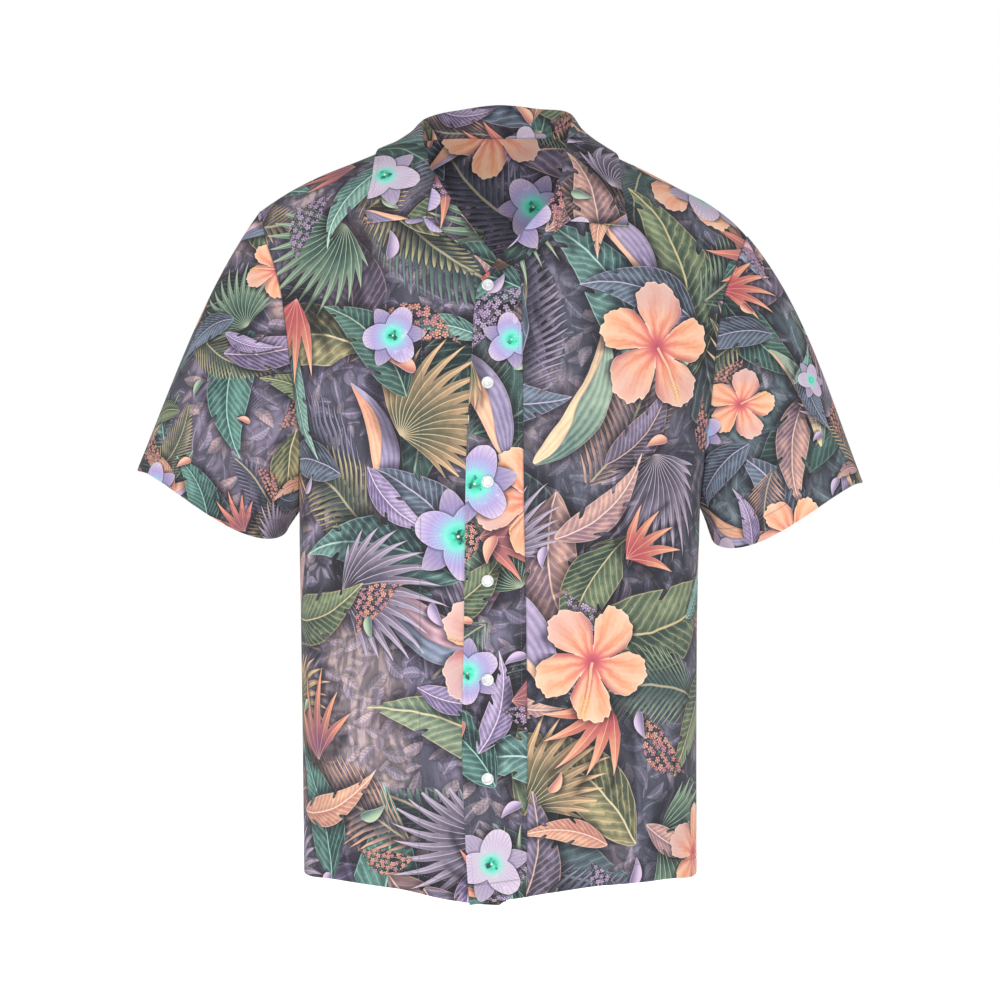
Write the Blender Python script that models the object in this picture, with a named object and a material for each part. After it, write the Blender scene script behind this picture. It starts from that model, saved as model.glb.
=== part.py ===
"""Hawaiian shirt: short sleeves, camp collar, six buttons, filled out as worn but empty.

Metres, +Z up. The shirt's front faces -Y and +X is the wearer's left. The origin is the
middle of the neck hole, level with the neck ends of the shoulder seams, where a wearer's neck
and shoulders hold the shirt up.

Every cloth piece is a wall of even thickness on a smooth body surface. That surface is a
stack of rounded sections from the hem to the underarm; above the underarm the sections close
over the shoulders and are cut by the armholes and the neck.
"""

import math

import bpy
import numpy as np
from mathutils import Vector
from mathutils.bvhtree import BVHTree

# ---------------------------------------------------------------- sizes
WALL = 0.0014  # thickness of a cloth wall
GAP = 0.0003  # clearance between two pieces at a seam
LAP_DROP = 0.0026  # how far the under front sits behind the placket
LAY = 0.0028  # height of a turned-out layer's middle above the panel it lies on
STAND_OFF = 0.0023  # least distance from the panels' middle to the collar's stand

HEM_Z = -0.7290  # side seam at the hem
UNDERARM_Z = -0.3660
NECK_Z = 0.0117  # back neck seam
SECTION_POWER = 2.35  # roundness of the body sections; 2 is an ellipse
SHOULDER_POWER = 2.4  # roundness of the shoulder from chest to top

UNDER_EDGE_X = 0.0060  # hidden edge of the right front
BUTTON_X = -0.0115
BUTTON_DIAMETER = 0.0114
BUTTON_TOP_Z = -0.1585
BUTTON_PITCH = 0.0922
BUTTON_COUNT = 6

# body sections: height, half width on the wearer's right and left, depth to front and back.
# Above the underarm the sections are wider than the cloth, which the armholes cut short
SECTIONS = [
    # z,     right,  left,   front,  back
    (-0.745, 0.1942, 0.1953, 0.1360, 0.1250),
    (-0.620, 0.1955, 0.1950, 0.1370, 0.1265),
    (-0.500, 0.1972, 0.1953, 0.1390, 0.1290),
    (-0.400, 0.1988, 0.1975, 0.1408, 0.1320),
    (-0.366, 0.1990, 0.1985, 0.1410, 0.1330),
    (-0.313, 0.2035, 0.2070, 0.1412, 0.1345),
    (-0.268, 0.2125, 0.2185, 0.1410, 0.1350),
    (-0.216, 0.2240, 0.2290, 0.1395, 0.1350),
    (-0.160, 0.2345, 0.2410, 0.1370, 0.1340),
    (-0.100, 0.2520, 0.2610, 0.1340, 0.1320),
    (-0.050, 0.2640, 0.2740, 0.1310, 0.1300),
    (0.020, 0.2760, 0.2860, 0.1280, 0.1260),
]
# armhole seam seen from the front: half width at each height
ARMHOLE = [
    # z,     right,  left
    (-0.366, 0.1990, 0.1985),
    (-0.345, 0.1968, 0.1990),
    (-0.313, 0.1950, 0.2000),
    (-0.268, 0.1985, 0.2045),
    (-0.216, 0.2045, 0.2090),
    (-0.160, 0.2125, 0.2185),
    (-0.130, 0.2205, 0.2310),
    (-0.110, 0.2278, 0.2395),
]
# placket band: its seam to the left front and its free front edge at each height
PLACKET = [
    # z,     seam x, edge x
    (-0.745, 0.0238, -0.0278),
    (-0.690, 0.0254, -0.0318),
    (-0.575, 0.0255, -0.0354),
    (-0.480, 0.0244, -0.0336),
    (-0.341, 0.0220, -0.0320),
    (-0.260, 0.0213, -0.0286),
    (-0.186, 0.0209, -0.0245),
    (-0.135, 0.0178, -0.0210),
    (-0.112, 0.0155, -0.0190),
]
# shoulder ridge: distance from the centre, height on the wearer's right and left
RIDGE = [
    # x,     right,   left
    (0.0780, 0.0020, 0.0020),
    (0.0950, -0.0050, -0.0075),
    (0.1130, -0.0120, -0.0185),
    (0.1400, -0.0230, -0.0310),
    (0.1780, -0.0380, -0.0505),
    (0.2055, -0.0515, -0.0645),
    (0.2300, -0.0665, -0.0820),
    (0.2400, -0.0735, -0.0915),
    (0.2600, -0.0900, -0.1120),
]
TIP_RIGHT, TIP_LEFT = 0.2375, 0.2455  # shoulder tips, from the centre
NECK_RIGHT, NECK_LEFT = 0.0820, 0.0780  # side neck points, from the centre
# neck edge of each front, from the side neck down to the foot of the V
NECK_EDGE_RIGHT = [
    # x,      z
    (-0.0820, 0.0005),
    (-0.0780, -0.0180),
    (-0.0715, -0.0350),
    (-0.0612, -0.0500),
    (-0.0480, -0.0715),
    (-0.0270, -0.1015),
    (-0.0030, -0.1320),
    (0.0060, -0.1415),
]
NECK_EDGE_LEFT = [
    # x,      z
    (0.0780, 0.0005),
    (0.0735, -0.0170),
    (0.0650, -0.0350),
    (0.0550, -0.0555),
    (0.0500, -0.0720),
    (0.0320, -0.0935),
    (0.0157, -0.1140),
    (0.0010, -0.1300),
    (-0.0178, -0.1530),
    (-0.0222, -0.1660),
    (-0.0245, -0.1860),
]
# hem: how far below HEM_Z it hangs, by distance along the half section from the centre
HEM_DROP = [
    # share, right,  left
    (0.00, 0.0093, 0.0067),
    (0.05, 0.0080, 0.0016),
    (0.12, 0.0046, -0.0023),
    (0.30, -0.0048, -0.0075),
    (0.55, -0.0071, -0.0073),
    (0.80, -0.0028, -0.0018),
    (1.00, 0.0000, 0.0000),
]

# collar sections from the back centre to each front end. The first GORGE_AT + 1 rows are sewn
# to the neck edge, the rest to the lapel's end. Roll is the fold's crest and edge the leaf's
# outer edge, both (x, y, z)
COLLAR_RIGHT = [
    # neck x, neck z, roll x,   y,      z,      edge x,   y,      z
    (0.0000, 0.0117, 0.0000, 0.0730, 0.0482, 0.0000, 0.0950, -0.0120),
    (-0.0400, 0.0117, -0.0400, 0.0640, 0.0434, -0.0600, 0.0830, -0.0140),
    (-0.0690, 0.0105, -0.0660, 0.0370, 0.0340, -0.0990, 0.0500, -0.0140),
    (-0.0820, 0.0020, -0.0775, 0.0020, 0.0195, -0.1165, 0.0050, -0.0105),
    (-0.0780, -0.0180, -0.0755, -0.0360, 0.0000, -0.1215, -0.0500, -0.0300),
    (-0.0715, -0.0350, -0.0705, -0.0665, -0.0260, -0.1238, -0.0710, -0.0500),
    (-0.0624, -0.0488, -0.0612, -0.0860, -0.0490, -0.1270, -0.0800, -0.0680),
    (-0.0664, -0.0700, -0.0671, -0.0930, -0.0700, -0.1291, -0.0870, -0.0830),
    (-0.0699, -0.0932, -0.0706, -0.1028, -0.0932, -0.1307, -0.0915, -0.0965),
]
COLLAR_LEFT = [
    # neck x, neck z, roll x,   y,      z,      edge x,   y,      z
    (0.0000, 0.0117, 0.0000, 0.0730, 0.0482, 0.0000, 0.0950, -0.0120),
    (0.0400, 0.0117, 0.0410, 0.0640, 0.0442, 0.0590, 0.0830, -0.0150),
    (0.0670, 0.0105, 0.0660, 0.0370, 0.0375, 0.0960, 0.0500, -0.0160),
    (0.0780, 0.0020, 0.0725, 0.0020, 0.0225, 0.1105, 0.0050, -0.0155),
    (0.0735, -0.0170, 0.0675, -0.0420, -0.0020, 0.1150, -0.0530, -0.0370),
    (0.0650, -0.0350, 0.0605, -0.0750, -0.0300, 0.1170, -0.0715, -0.0560),
    (0.0563, -0.0543, 0.0550, -0.0890, -0.0545, 0.1188, -0.0820, -0.0700),
    (0.0610, -0.0760, 0.0617, -0.0965, -0.0760, 0.1206, -0.0885, -0.0850),
    (0.0654, -0.0968, 0.0661, -0.1045, -0.0968, 0.1233, -0.0940, -0.1000),
]
GORGE_AT = 6  # row of the tables above where the gorge starts
LEAF_SAG = 0.0020  # how far the leaf hollows between its crest and its edge at the shoulder
# lapels: outer edge against the roll line, as shares of the way from the gorge to the foot
LAPEL_RIGHT = [
    # roll x, roll z,  edge x,  edge z
    (-0.0612, -0.0500, -0.0683, -0.0935),
    (-0.0480, -0.0715, -0.0570, -0.1040),
    (-0.0270, -0.1015, -0.0370, -0.1210),
    (-0.0100, -0.1230, -0.0150, -0.1330),
]
LAPEL_LEFT = [
    # roll x, roll z,  edge x,  edge z
    (0.0550, -0.0555, 0.0640, -0.0970),
    (0.0500, -0.0720, 0.0560, -0.1040),
    (0.0320, -0.0935, 0.0420, -0.1180),
    (0.0157, -0.1140, 0.0245, -0.1330),
    (0.0010, -0.1300, 0.0060, -0.1420),
    (-0.0085, -0.1420, -0.0065, -0.1480),
]

# sleeves: the cuff's upper and lower points (x from the centre, z), its half depth, how far
# its front edge hangs beyond the chord, and the way the cloth leaves the armhole
SLEEVES = {
    # name:   top x,  top z,   low x,  low z,   depth, front hang, back hang
    "right": (0.3620, -0.3310, 0.2140, -0.3920, 0.0620, 0.0160, -0.0050),
    "left": (0.3620, -0.3430, 0.2130, -0.4010, 0.0620, 0.0160, -0.0050),
}

CUFF_LIFT = 0.0085  # how far the upper half of the front cuff edge rises above the chord

# mesh density
HEM_ROWS, ARM_ROWS = 9, 11
NECK_COLS, RIDGE_COLS, BACK_NECK_COLS = 8, 5, 12
SLEEVE_RINGS = 8
COLLAR_STEPS = 3  # columns between two collar sections
COLLAR_ROWS = 9

# ---------------------------------------------------------------- smooth tables


def smooth(xs, ys, x):
    """Monotone cubic through the rows of a table."""
    xs, ys, x = np.asarray(xs, float), np.asarray(ys, float), np.asarray(x, float)
    step, rise = np.diff(xs), np.diff(ys)
    slope = rise / step
    m = np.empty_like(ys)
    m[0], m[-1] = slope[0], slope[-1]
    same = slope[:-1] * slope[1:] > 0
    with np.errstate(divide="ignore", invalid="ignore"):
        mean = 2 * slope[:-1] * slope[1:] / (slope[:-1] + slope[1:])
    m[1:-1] = np.where(same, mean, 0.0)
    x = np.clip(x, xs[0], xs[-1])
    i = np.clip(np.searchsorted(xs, x, side="right") - 1, 0, len(xs) - 2)
    t = (x - xs[i]) / step[i]
    return (
        ys[i] * (1 + 2 * t) * (1 - t) ** 2
        + ys[i + 1] * t * t * (3 - 2 * t)
        + step[i] * (m[i] * t * (1 - t) ** 2 - m[i + 1] * t * t * (1 - t))
    )


def column(table, k):
    return [row[k] for row in table]


def through(points, count):
    """Catmull-Rom curve through table points, at even steps of length."""
    p = np.asarray(points, float)
    ends = np.vstack([2 * p[0] - p[1], p, 2 * p[-1] - p[-2]])
    t = np.linspace(0, 1, 24, endpoint=False)[:, None]
    parts = []
    for a, b, c, d in zip(ends[:-3], ends[1:-2], ends[2:-1], ends[3:], strict=True):
        parts.append(
            0.5
            * (
                2 * b
                + (c - a) * t
                + (2 * a - 5 * b + 4 * c - d) * t * t
                + (3 * b - a - 3 * c + d) * t**3
            )
        )
    line = np.vstack([*parts, p[-1:]])
    return even(line, np.linspace(0, 1, count))


def even(line, shares):
    """Points at given shares of a polyline's length."""
    run = np.r_[0, np.cumsum(np.linalg.norm(np.diff(line, axis=0), axis=1))]
    at = np.asarray(shares) * run[-1]
    return np.stack([np.interp(at, run, line[:, k]) for k in range(line.shape[1])], 1)


# ---------------------------------------------------------------- the body surface


def half_width(side, z):
    return smooth(column(SECTIONS, 0), column(SECTIONS, 1 if side < 0 else 2), z)


def ridge(side, x):
    return smooth(column(RIDGE, 0), column(RIDGE, 1 if side < 0 else 2), np.abs(x))


def closing(side, x, z, back):
    """How much of the body's depth is left at a height: 1 at the chest, 0 on the ridge."""
    top = ridge(side, x)
    if back:
        dome = np.clip(1 - (np.abs(x) / 0.078) ** 2.0, 0, 1)
        top = top + 0.0400 * dome**0.75
    w = np.clip((z - UNDERARM_Z) / (top - UNDERARM_Z), 0, 1)
    return (1 - w**SHOULDER_POWER) ** (1 / SHOULDER_POWER)


def body(q, z, back=False):
    """The body surface. q is the signed section angle, -1 at the right side seam, 0 at the
    centre and 1 at the left side seam."""
    q, z = np.broadcast_arrays(np.asarray(q, float), np.asarray(z, float))
    half = np.where(q < 0, half_width(-1, z), half_width(1, z))
    e = 2 / SECTION_POWER
    x = np.sign(q) * half * np.sin(np.abs(q) * math.pi / 2) ** e
    depth = smooth(column(SECTIONS, 0), column(SECTIONS, 4 if back else 3), z)
    c = np.clip(np.cos(np.abs(q) * math.pi / 2), 0, 1) ** e
    shut = np.where(q < 0, closing(-1, x, z, back), closing(1, x, z, back))
    return np.stack([x, (1 if back else -1) * depth * c * shut, z], -1)


def angle(x, z):
    """Section angle of a point given by its place across and its height."""
    x, z = np.broadcast_arrays(np.asarray(x, float), np.asarray(z, float))
    half = np.where(x < 0, half_width(-1, z), half_width(1, z))
    s = np.clip(np.abs(x) / half, 0, 1) ** (SECTION_POWER / 2)
    return np.sign(x) * np.arcsin(s) * 2 / math.pi


def on_body(x, z, back=False):
    return body(angle(x, z), z, back)


def arm_angle(side, z):
    """Section angle of the armhole seam, which ends on the shoulder tip."""
    tip = TIP_RIGHT if side < 0 else TIP_LEFT
    seam = smooth(
        [*column(ARMHOLE, 0), float(ridge(side, tip))],
        [*column(ARMHOLE, 1 if side < 0 else 2), tip],
        z,
    )
    return np.abs(angle(side * seam, z))


def hem_z(q):
    k = np.where(np.asarray(q) < 0, 1, 2)
    share = np.abs(q)
    right = smooth(column(HEM_DROP, 0), column(HEM_DROP, 1), share)
    left = smooth(column(HEM_DROP, 0), column(HEM_DROP, 2), share)
    return HEM_Z - np.where(k == 1, right, left)


# ---------------------------------------------------------------- grids of panel points


def coons(bottom, top, first, last):
    """Fills four edges, each (n, 2) in (section angle, height)."""
    u = np.linspace(0, 1, len(bottom))[None, :, None]
    v = np.linspace(0, 1, len(first))[:, None, None]
    return (
        (1 - v) * bottom[None]
        + v * top[None]
        + (1 - u) * first[:, None]
        + u * last[:, None]
        - (1 - u) * (1 - v) * bottom[0]
        - u * (1 - v) * bottom[-1]
        - (1 - u) * v * top[0]
        - u * v * top[-1]
    )


def side_edge(side):
    """Side seam and armhole seam from the hem to the shoulder tip."""
    tip = TIP_RIGHT if side < 0 else TIP_LEFT
    top = float(ridge(side, tip))
    low = np.linspace(float(hem_z(side)), UNDERARM_Z, HEM_ROWS, endpoint=False)
    s = np.linspace(0, 1, ARM_ROWS + 1)
    high = UNDERARM_Z + (top - UNDERARM_Z) * (0.5 - 0.5 * np.cos(math.pi * s)) ** 0.9
    q = np.r_[np.ones(HEM_ROWS), arm_angle(side, high)]
    z = np.r_[low, high]
    return np.stack([side * q, z], 1)


def ridge_edge(side):
    """Shoulder seam from the side neck to the tip."""
    neck, tip = (NECK_RIGHT, TIP_RIGHT) if side < 0 else (NECK_LEFT, TIP_LEFT)
    x = np.linspace(neck, tip, RIDGE_COLS + 1)
    z = ridge(side, x)
    q = angle(side * x, z)
    q[-1] = side * float(arm_angle(side, z[-1]))
    return np.stack([q, z], 1)


def seam_x(z):
    return smooth(column(PLACKET, 0), column(PLACKET, 1), z)


def edge_x(z):
    return smooth(column(PLACKET, 0), column(PLACKET, 2), z)


def neck_edge(side):
    """Neck edge of a front from the foot of the V to the side neck, as (x, z)."""
    return np.array(NECK_EDGE_RIGHT if side < 0 else NECK_EDGE_LEFT)[::-1]


def crossing(line):
    """The part of a neck edge that lies beyond the placket seam, starting on it."""
    f = line[:, 0] - seam_x(line[:, 1])
    for i in range(len(line) - 1):
        if f[i] * f[i + 1] <= 0 and f[i] != f[i + 1]:
            t = -f[i] / (f[i + 1] - f[i])
            return np.vstack([line[i] + t * (line[i + 1] - line[i]), line[i + 1 :]])
    return line


def smooth_line(points):
    """A neck edge as a dense (x, z) line, closest together at its last point, the side neck."""
    line = through(points, 40 * len(points))
    return even(line, 1 - np.linspace(1, 0, 400) ** 3)


def step_evenly(line, count):
    """Points of a dense (x, z) line at even steps along the body surface."""
    p = on_body(line[:, 0], line[:, 1])
    run = np.r_[0, np.cumsum(np.linalg.norm(np.diff(p, axis=0), axis=1))]
    at = np.linspace(0, run[-1], count)
    return np.stack([np.interp(at, run, line[:, 0]), np.interp(at, run, line[:, 1])], 1)


def front_grid(side):
    """Points of a front from its centre edge to the side, from the hem to the top."""
    vee = smooth_line(neck_edge(side))
    if side > 0:
        vee = crossing(vee)
    vee = step_evenly(vee, NECK_COLS + 1)
    neck_top = np.stack([angle(vee[:, 0], vee[:, 1]), vee[:, 1]], 1)
    top = np.vstack([neck_top[:-1], ridge_edge(side)])
    foot = vee[0]
    rows = HEM_ROWS + ARM_ROWS + 1
    last = side_edge(side)
    low_x = UNDER_EDGE_X if side < 0 else float(seam_x(HEM_Z))
    first_z = np.linspace(float(hem_z(angle(low_x, HEM_Z))), foot[1], rows)
    first_x = np.full(rows, UNDER_EDGE_X) if side < 0 else seam_x(first_z)
    first = np.stack([angle(first_x, first_z), first_z], 1)
    cols = len(top)
    share = np.linspace(0, 1, cols)
    bottom_q = first[0, 0] + (side - first[0, 0]) * share
    bottom = np.stack([bottom_q, hem_z(bottom_q)], 1)
    qz = coons(bottom, top, first, last)
    return body(qz[..., 0], qz[..., 1])


def back_grid():
    """Points of the back from the right side to the left, from the hem to the top."""
    x = neck_back_x(np.linspace(-1, 1, BACK_NECK_COLS + 1))
    z = neck_back_z(x)
    neck = np.stack([angle(x, z), z], 1)
    top = np.vstack([ridge_edge(-1)[::-1], neck[1:-1], ridge_edge(1)])
    first, last = side_edge(-1), side_edge(1)
    q = np.linspace(-1, 1, len(top))
    bottom = np.stack([q, hem_back_z(q)], 1)
    qz = coons(bottom, top, first, last)
    return body(qz[..., 0], qz[..., 1], back=True)


def neck_back_x(turn):
    """Place across on the back neck, from -1 at the right side neck to 1 at the left."""
    return np.where(turn < 0, NECK_RIGHT, NECK_LEFT) * np.sin(turn * math.pi / 2)


def neck_back_z(x):
    side = np.where(np.asarray(x) < 0, NECK_RIGHT, NECK_LEFT)
    share = np.clip(np.abs(x) / side, 0, 1)
    end = np.where(np.asarray(x) < 0, ridge(-1, NECK_RIGHT), ridge(1, NECK_LEFT))
    return NECK_Z + (end - NECK_Z) * share**4


def hem_back_z(q):
    return HEM_Z - 0.004 * (1 - np.abs(q) ** 2)


def placket_grid():
    """Points of the placket band from the seam to its front edge."""
    vee = smooth_line(neck_edge(1))
    foot = vee[0]
    cut = crossing(vee)
    turn = np.vstack([vee[: len(vee) - len(cut) + 1], cut[:1]])
    cols = 5
    top = even(turn[::-1], np.linspace(0, 1, cols))
    rows = HEM_ROWS + ARM_ROWS + 1
    seam_z = np.linspace(float(hem_z(angle(seam_x(HEM_Z), HEM_Z))), cut[0, 1], rows)
    edge_z = np.linspace(float(hem_z(0.0)) - 0.0020, foot[1], rows)
    seam = np.stack([seam_x(seam_z), seam_z], 1)
    edge = np.stack([edge_x(edge_z), edge_z], 1)
    bottom = np.linspace(seam[0], edge[0], cols)
    xz = coons(bottom, top, seam, edge)
    return on_body(xz[..., 0], xz[..., 1])


# ---------------------------------------------------------------- walls


def unit(v):
    return v / np.maximum(np.linalg.norm(v, axis=-1, keepdims=True), 1e-12)


def normals(p):
    """Normals of a grid of points, on the side where columns x rows turn right-handed."""
    du = np.gradient(p, axis=1)
    dv = np.gradient(p, axis=0)
    return unit(np.cross(du, dv))


def shrink(p, sides, by=GAP / 2):
    """Moves grid edges inwards along the surface. Sides: first, last, bottom, top."""
    p = p.copy()
    if "first" in sides:
        p[:, 0] += unit(p[:, 1] - p[:, 0]) * by
    if "last" in sides:
        p[:, -1] += unit(p[:, -2] - p[:, -1]) * by
    if "bottom" in sides:
        p[0] += unit(p[1] - p[0]) * by
    if "top" in sides:
        p[-1] += unit(p[-2] - p[-1]) * by
    return p


def wall(p, n, thick=WALL, ring=False):
    """Closed wall on a grid: outer and inner faces, joined round the open edges."""
    rows, cols = p.shape[:2]
    out, inn = p + n * thick / 2, p - n * thick / 2
    verts = np.vstack([out.reshape(-1, 3), inn.reshape(-1, 3)])
    size = rows * cols

    def at(r, c, k=0):
        return k * size + r * cols + (c % cols)

    faces = []
    span = cols if ring else cols - 1
    for r in range(rows - 1):
        for c in range(span):
            a, b, d, e = at(r, c), at(r, c + 1), at(r + 1, c + 1), at(r + 1, c)
            # the diagonal that stands out further keeps the round form
            proud = np.dot(out[r, c] - inn[r, c], verts[a] + verts[d] - verts[b] - verts[e])
            halves = ((a, b, d), (a, d, e)) if proud > 0 else ((a, b, e), (b, d, e))
            faces.extend(halves)
            faces.extend(tuple(size + v for v in half[::-1]) for half in halves)
    for c in range(span):
        a, b = at(0, c), at(0, c + 1)
        faces.append((b, a, size + a, size + b))
        a, b = at(rows - 1, c), at(rows - 1, c + 1)
        faces.append((a, b, size + b, size + a))
    if not ring:
        for r in range(rows - 1):
            a, b = at(r, 0), at(r + 1, 0)
            faces.append((a, b, size + b, size + a))
            a, b = at(r, cols - 1), at(r + 1, cols - 1)
            faces.append((b, a, size + a, size + b))
    return verts, faces


def outward(p, n, away):
    """Turns the whole grid of normals so that it points away from a line or point."""
    return n if np.sum(n * (p - away)) > 0 else -n


def material(name, colour, roughness):
    m = bpy.data.materials.new(name)
    m.use_nodes = True
    shader = m.node_tree.nodes["Principled BSDF"]
    shader.inputs["Base Color"].default_value = (*colour, 1)
    shader.inputs["Roughness"].default_value = roughness
    shader.inputs["Metallic"].default_value = 0.0
    return m


def add(name, verts, faces, colour, roughness=0.85):
    mesh = bpy.data.meshes.new(name)
    mesh.from_pydata([tuple(map(float, v)) for v in verts], [], faces)
    mesh.validate()
    obj = bpy.data.objects.new(name, mesh)
    bpy.context.scene.collection.objects.link(obj)
    mesh.materials.append(material(name, colour, roughness))
    mesh.shade_smooth()
    mesh.set_sharp_from_angle(angle=math.radians(45))
    return obj


def panel(name, p, n, colour, sides=("first", "last", "bottom", "top"), ring=False):
    """A cloth wall from a grid, wound so that its faces point out."""
    p = shrink(p, sides) if sides else p
    own = normals(p)
    if ring:
        own = ring_normals(p)
    if np.sum(own * n) < 0:
        p, n = p[:, ::-1], n[:, ::-1]
    verts, faces = wall(p, n, ring=ring)
    return add(name, verts, faces, colour)


def ring_normals(p):
    du = np.roll(p, -1, axis=1) - np.roll(p, 1, axis=1)
    dv = np.gradient(p, axis=0)
    return unit(np.cross(du, dv))


# ---------------------------------------------------------------- sleeves


def sleeve_grid(side, arm, arm_n, arm_e):
    """Rings from the armhole seam to the cuff. arm holds the seam's points from the underarm
    up the front, over the tip and down the back, arm_n the panels' normals there and arm_e
    the way each panel runs off its edge."""
    top_x, top_z, low_x, low_z, depth, front_hang, back_hang = SLEEVES[
        "right" if side < 0 else "left"
    ]
    top = np.array([side * top_x, 0.0, top_z])
    low = np.array([side * low_x, 0.0, low_z])
    centre, chord = (top + low) / 2, (top - low) / 2
    axis = unit(np.array([side * abs(chord[2]), 0.0, -abs(chord[0])]))
    half = len(arm) // 2
    run = np.linalg.norm(np.diff(np.vstack([arm, arm[:1]]), axis=0), axis=1)
    front = np.r_[0, np.cumsum(run[:half])]
    back = np.r_[0, np.cumsum(run[half:])]
    turn = np.r_[
        math.pi - math.pi * front / front[-1], -math.pi * back[1:-1] / back[-1]
    ]
    # turn goes pi (underarm), 0 (tip), then on to -pi round the back
    c, s = np.cos(turn), np.sin(turn)
    hang = np.where(s > 0, front_hang, back_hang) * np.abs(s) * (1 - c) / 1.3
    hang = hang - np.where(s > 0, CUFF_LIFT, 0.0) * np.abs(s) * (1 + c) / 2
    cuff = (
        centre
        + c[:, None] * chord
        + s[:, None] * np.array([0.0, -depth, 0.0])
        + hang[:, None] * axis
    )
    # the way the cloth leaves the armhole: along the shoulder at the tip, out and down
    # elsewhere, and nearly down at the underarm
    up = (1 + c) / 2
    leave = unit(
        np.stack(
            [
                side * (0.46 + (0.09 if side < 0 else 0.18) * up),
                -0.16 * s,
                -(0.86 - 0.10 * up),
            ],
            1,
        )
    )
    # the seam's offset keeps the two walls clear of each other
    cosine = np.sum(leave * arm_e, 1)
    sine = np.sqrt(np.clip(1 - cosine**2, 0, 1))
    root = (
        arm
        + arm_n * ((1 - cosine) / 2 * (WALL + GAP + 0.0004))[:, None]
        + leave * (GAP + WALL / 2 * sine)[:, None]
    )
    length = np.linalg.norm(cuff - root, axis=1)[:, None]
    t = np.linspace(0, 1, SLEEVE_RINGS + 1)[:, None, None]
    m0, m1 = leave * length, axis[None] * length
    return (
        (2 * t**3 - 3 * t**2 + 1) * root
        + (t**3 - 2 * t**2 + t) * m0
        + (-2 * t**3 + 3 * t**2) * cuff
        + (t**3 - t**2) * m1
    )


# ---------------------------------------------------------------- collar and lapels


def raised(x, z, lift, back=False):
    """A point lifted off the body surface along its normal."""
    d = 0.0015
    p = on_body(x, z, back)
    a = on_body(np.asarray(x) + d, z, back) - on_body(np.asarray(x) - d, z, back)
    b = on_body(x, np.asarray(z) + d, back) - on_body(x, np.asarray(z) - d, back)
    n = unit(np.cross(a, b))
    flip = np.sign(n[..., 1]) * (1 if back else -1)
    return p + n * (flip * lift)[..., None] if np.ndim(flip) else p + n * flip * lift


def catmull(key, values, at, before):
    """Catmull-Rom through a column; before is the row that would come ahead of the first."""
    i = np.clip(np.floor(at).astype(int), 0, len(key) - 2)
    t = at - i
    pad = np.r_[before, values, 2 * values[-1] - values[-2]]
    a, b, c, d = pad[i], pad[i + 1], pad[i + 2], pad[i + 3]
    return 0.5 * (
        2 * b
        + (c - a) * t
        + (2 * a - 5 * b + 4 * c - d) * t * t
        + (3 * b - a - 3 * c + d) * t**3
    )


def tree_of(grids):
    """Search tree over the middle surfaces of panels, with each grid's face normals turned out."""
    verts, faces = [], []
    for grid, n in grids:
        start = len(verts)
        rows, cols = grid.shape[:2]
        verts.extend(Vector(v) for v in grid.reshape(-1, 3))
        flip = np.sum(normals(grid) * n) < 0
        for r in range(rows - 1):
            for c in range(cols - 1):
                a = start + r * cols + c
                quad = (a, a + 1, a + cols + 1, a + cols)
                faces.append(quad[::-1] if flip else quad)
    return BVHTree.FromPolygons(verts, faces)


def lifted(point, tree, lift, signed):
    """A point moved out to at least a given height above the panels."""
    spot, normal, _, reach = tree.find_nearest(Vector(point))
    way = Vector(point) - spot
    under = signed and way.dot(normal) < 0
    if under or reach < lift:
        out = normal if reach < 0.0004 else (-way if under else way).normalized()
        return np.array(spot + out * lift)
    return point


def settle(p, lift, tree, rounds=6):
    """Rests a grid on the panels: where lift is above STAND_OFF it stays outside them by that
    much, elsewhere it only keeps its distance. The moves are evened out over the grid."""
    move = np.zeros_like(p)
    for k in range(rounds):
        if k:
            pad = np.pad(move, ((1, 1), (1, 1), (0, 0)), mode="edge")
            move = (
                4 * move + pad[:-2, 1:-1] + pad[2:, 1:-1] + 2 * pad[1:-1, :-2] + 2 * pad[1:-1, 2:]
            ) / 10
        q = p + move
        for r in range(p.shape[0]):
            for c in range(p.shape[1]):
                q[r, c] = lifted(q[r, c], tree, lift[r, c], lift[r, c] > STAND_OFF)
        # the middles of the mesh's edges keep clear as well
        for dr, dc in ((0, 1), (1, 0), (1, 1)):
            for r in range(p.shape[0] - dr):
                for c in range(p.shape[1] - dc):
                    mid = (q[r, c] + q[r + dr, c + dc]) / 2
                    least = min(lift[r, c], lift[r + dr, c + dc])
                    push = lifted(mid, tree, least, least > STAND_OFF) - mid
                    q[r, c] += push
                    q[r + dr, c + dc] += push
        move = q - p
    return p + move


def neck_path(side, table):
    """The collar's seam from the back centre round to the front end, as points on the body,
    and the place of each table row along it."""
    x = side * np.abs(neck_back_x(side * np.linspace(0, 1, 60)))
    back = on_body(x, neck_back_z(x), True)
    line = smooth_line(neck_edge(side))[::-1]
    front = on_body(line[:, 0], line[:, 1])
    start = int(np.argmin(np.abs(line[:, 1] - table[GORGE_AT][1])))
    gorge = np.array([on_body(row[0], row[1]) for row in table[GORGE_AT:]])
    path = np.vstack([back, front[1:start], gorge])
    marks = []
    for k, row in enumerate(table):
        if k < 3:
            marks.append(int(np.argmin(np.abs(x - row[0]))))
        elif k == 3:
            marks.append(len(back) - 1)
        elif k < GORGE_AT:
            marks.append(len(back) - 1 + int(np.argmin(np.abs(line[:start, 1] - row[1]))))
        else:
            marks.append(len(back) - 1 + start + k - GORGE_AT)
    return path, marks


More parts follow.
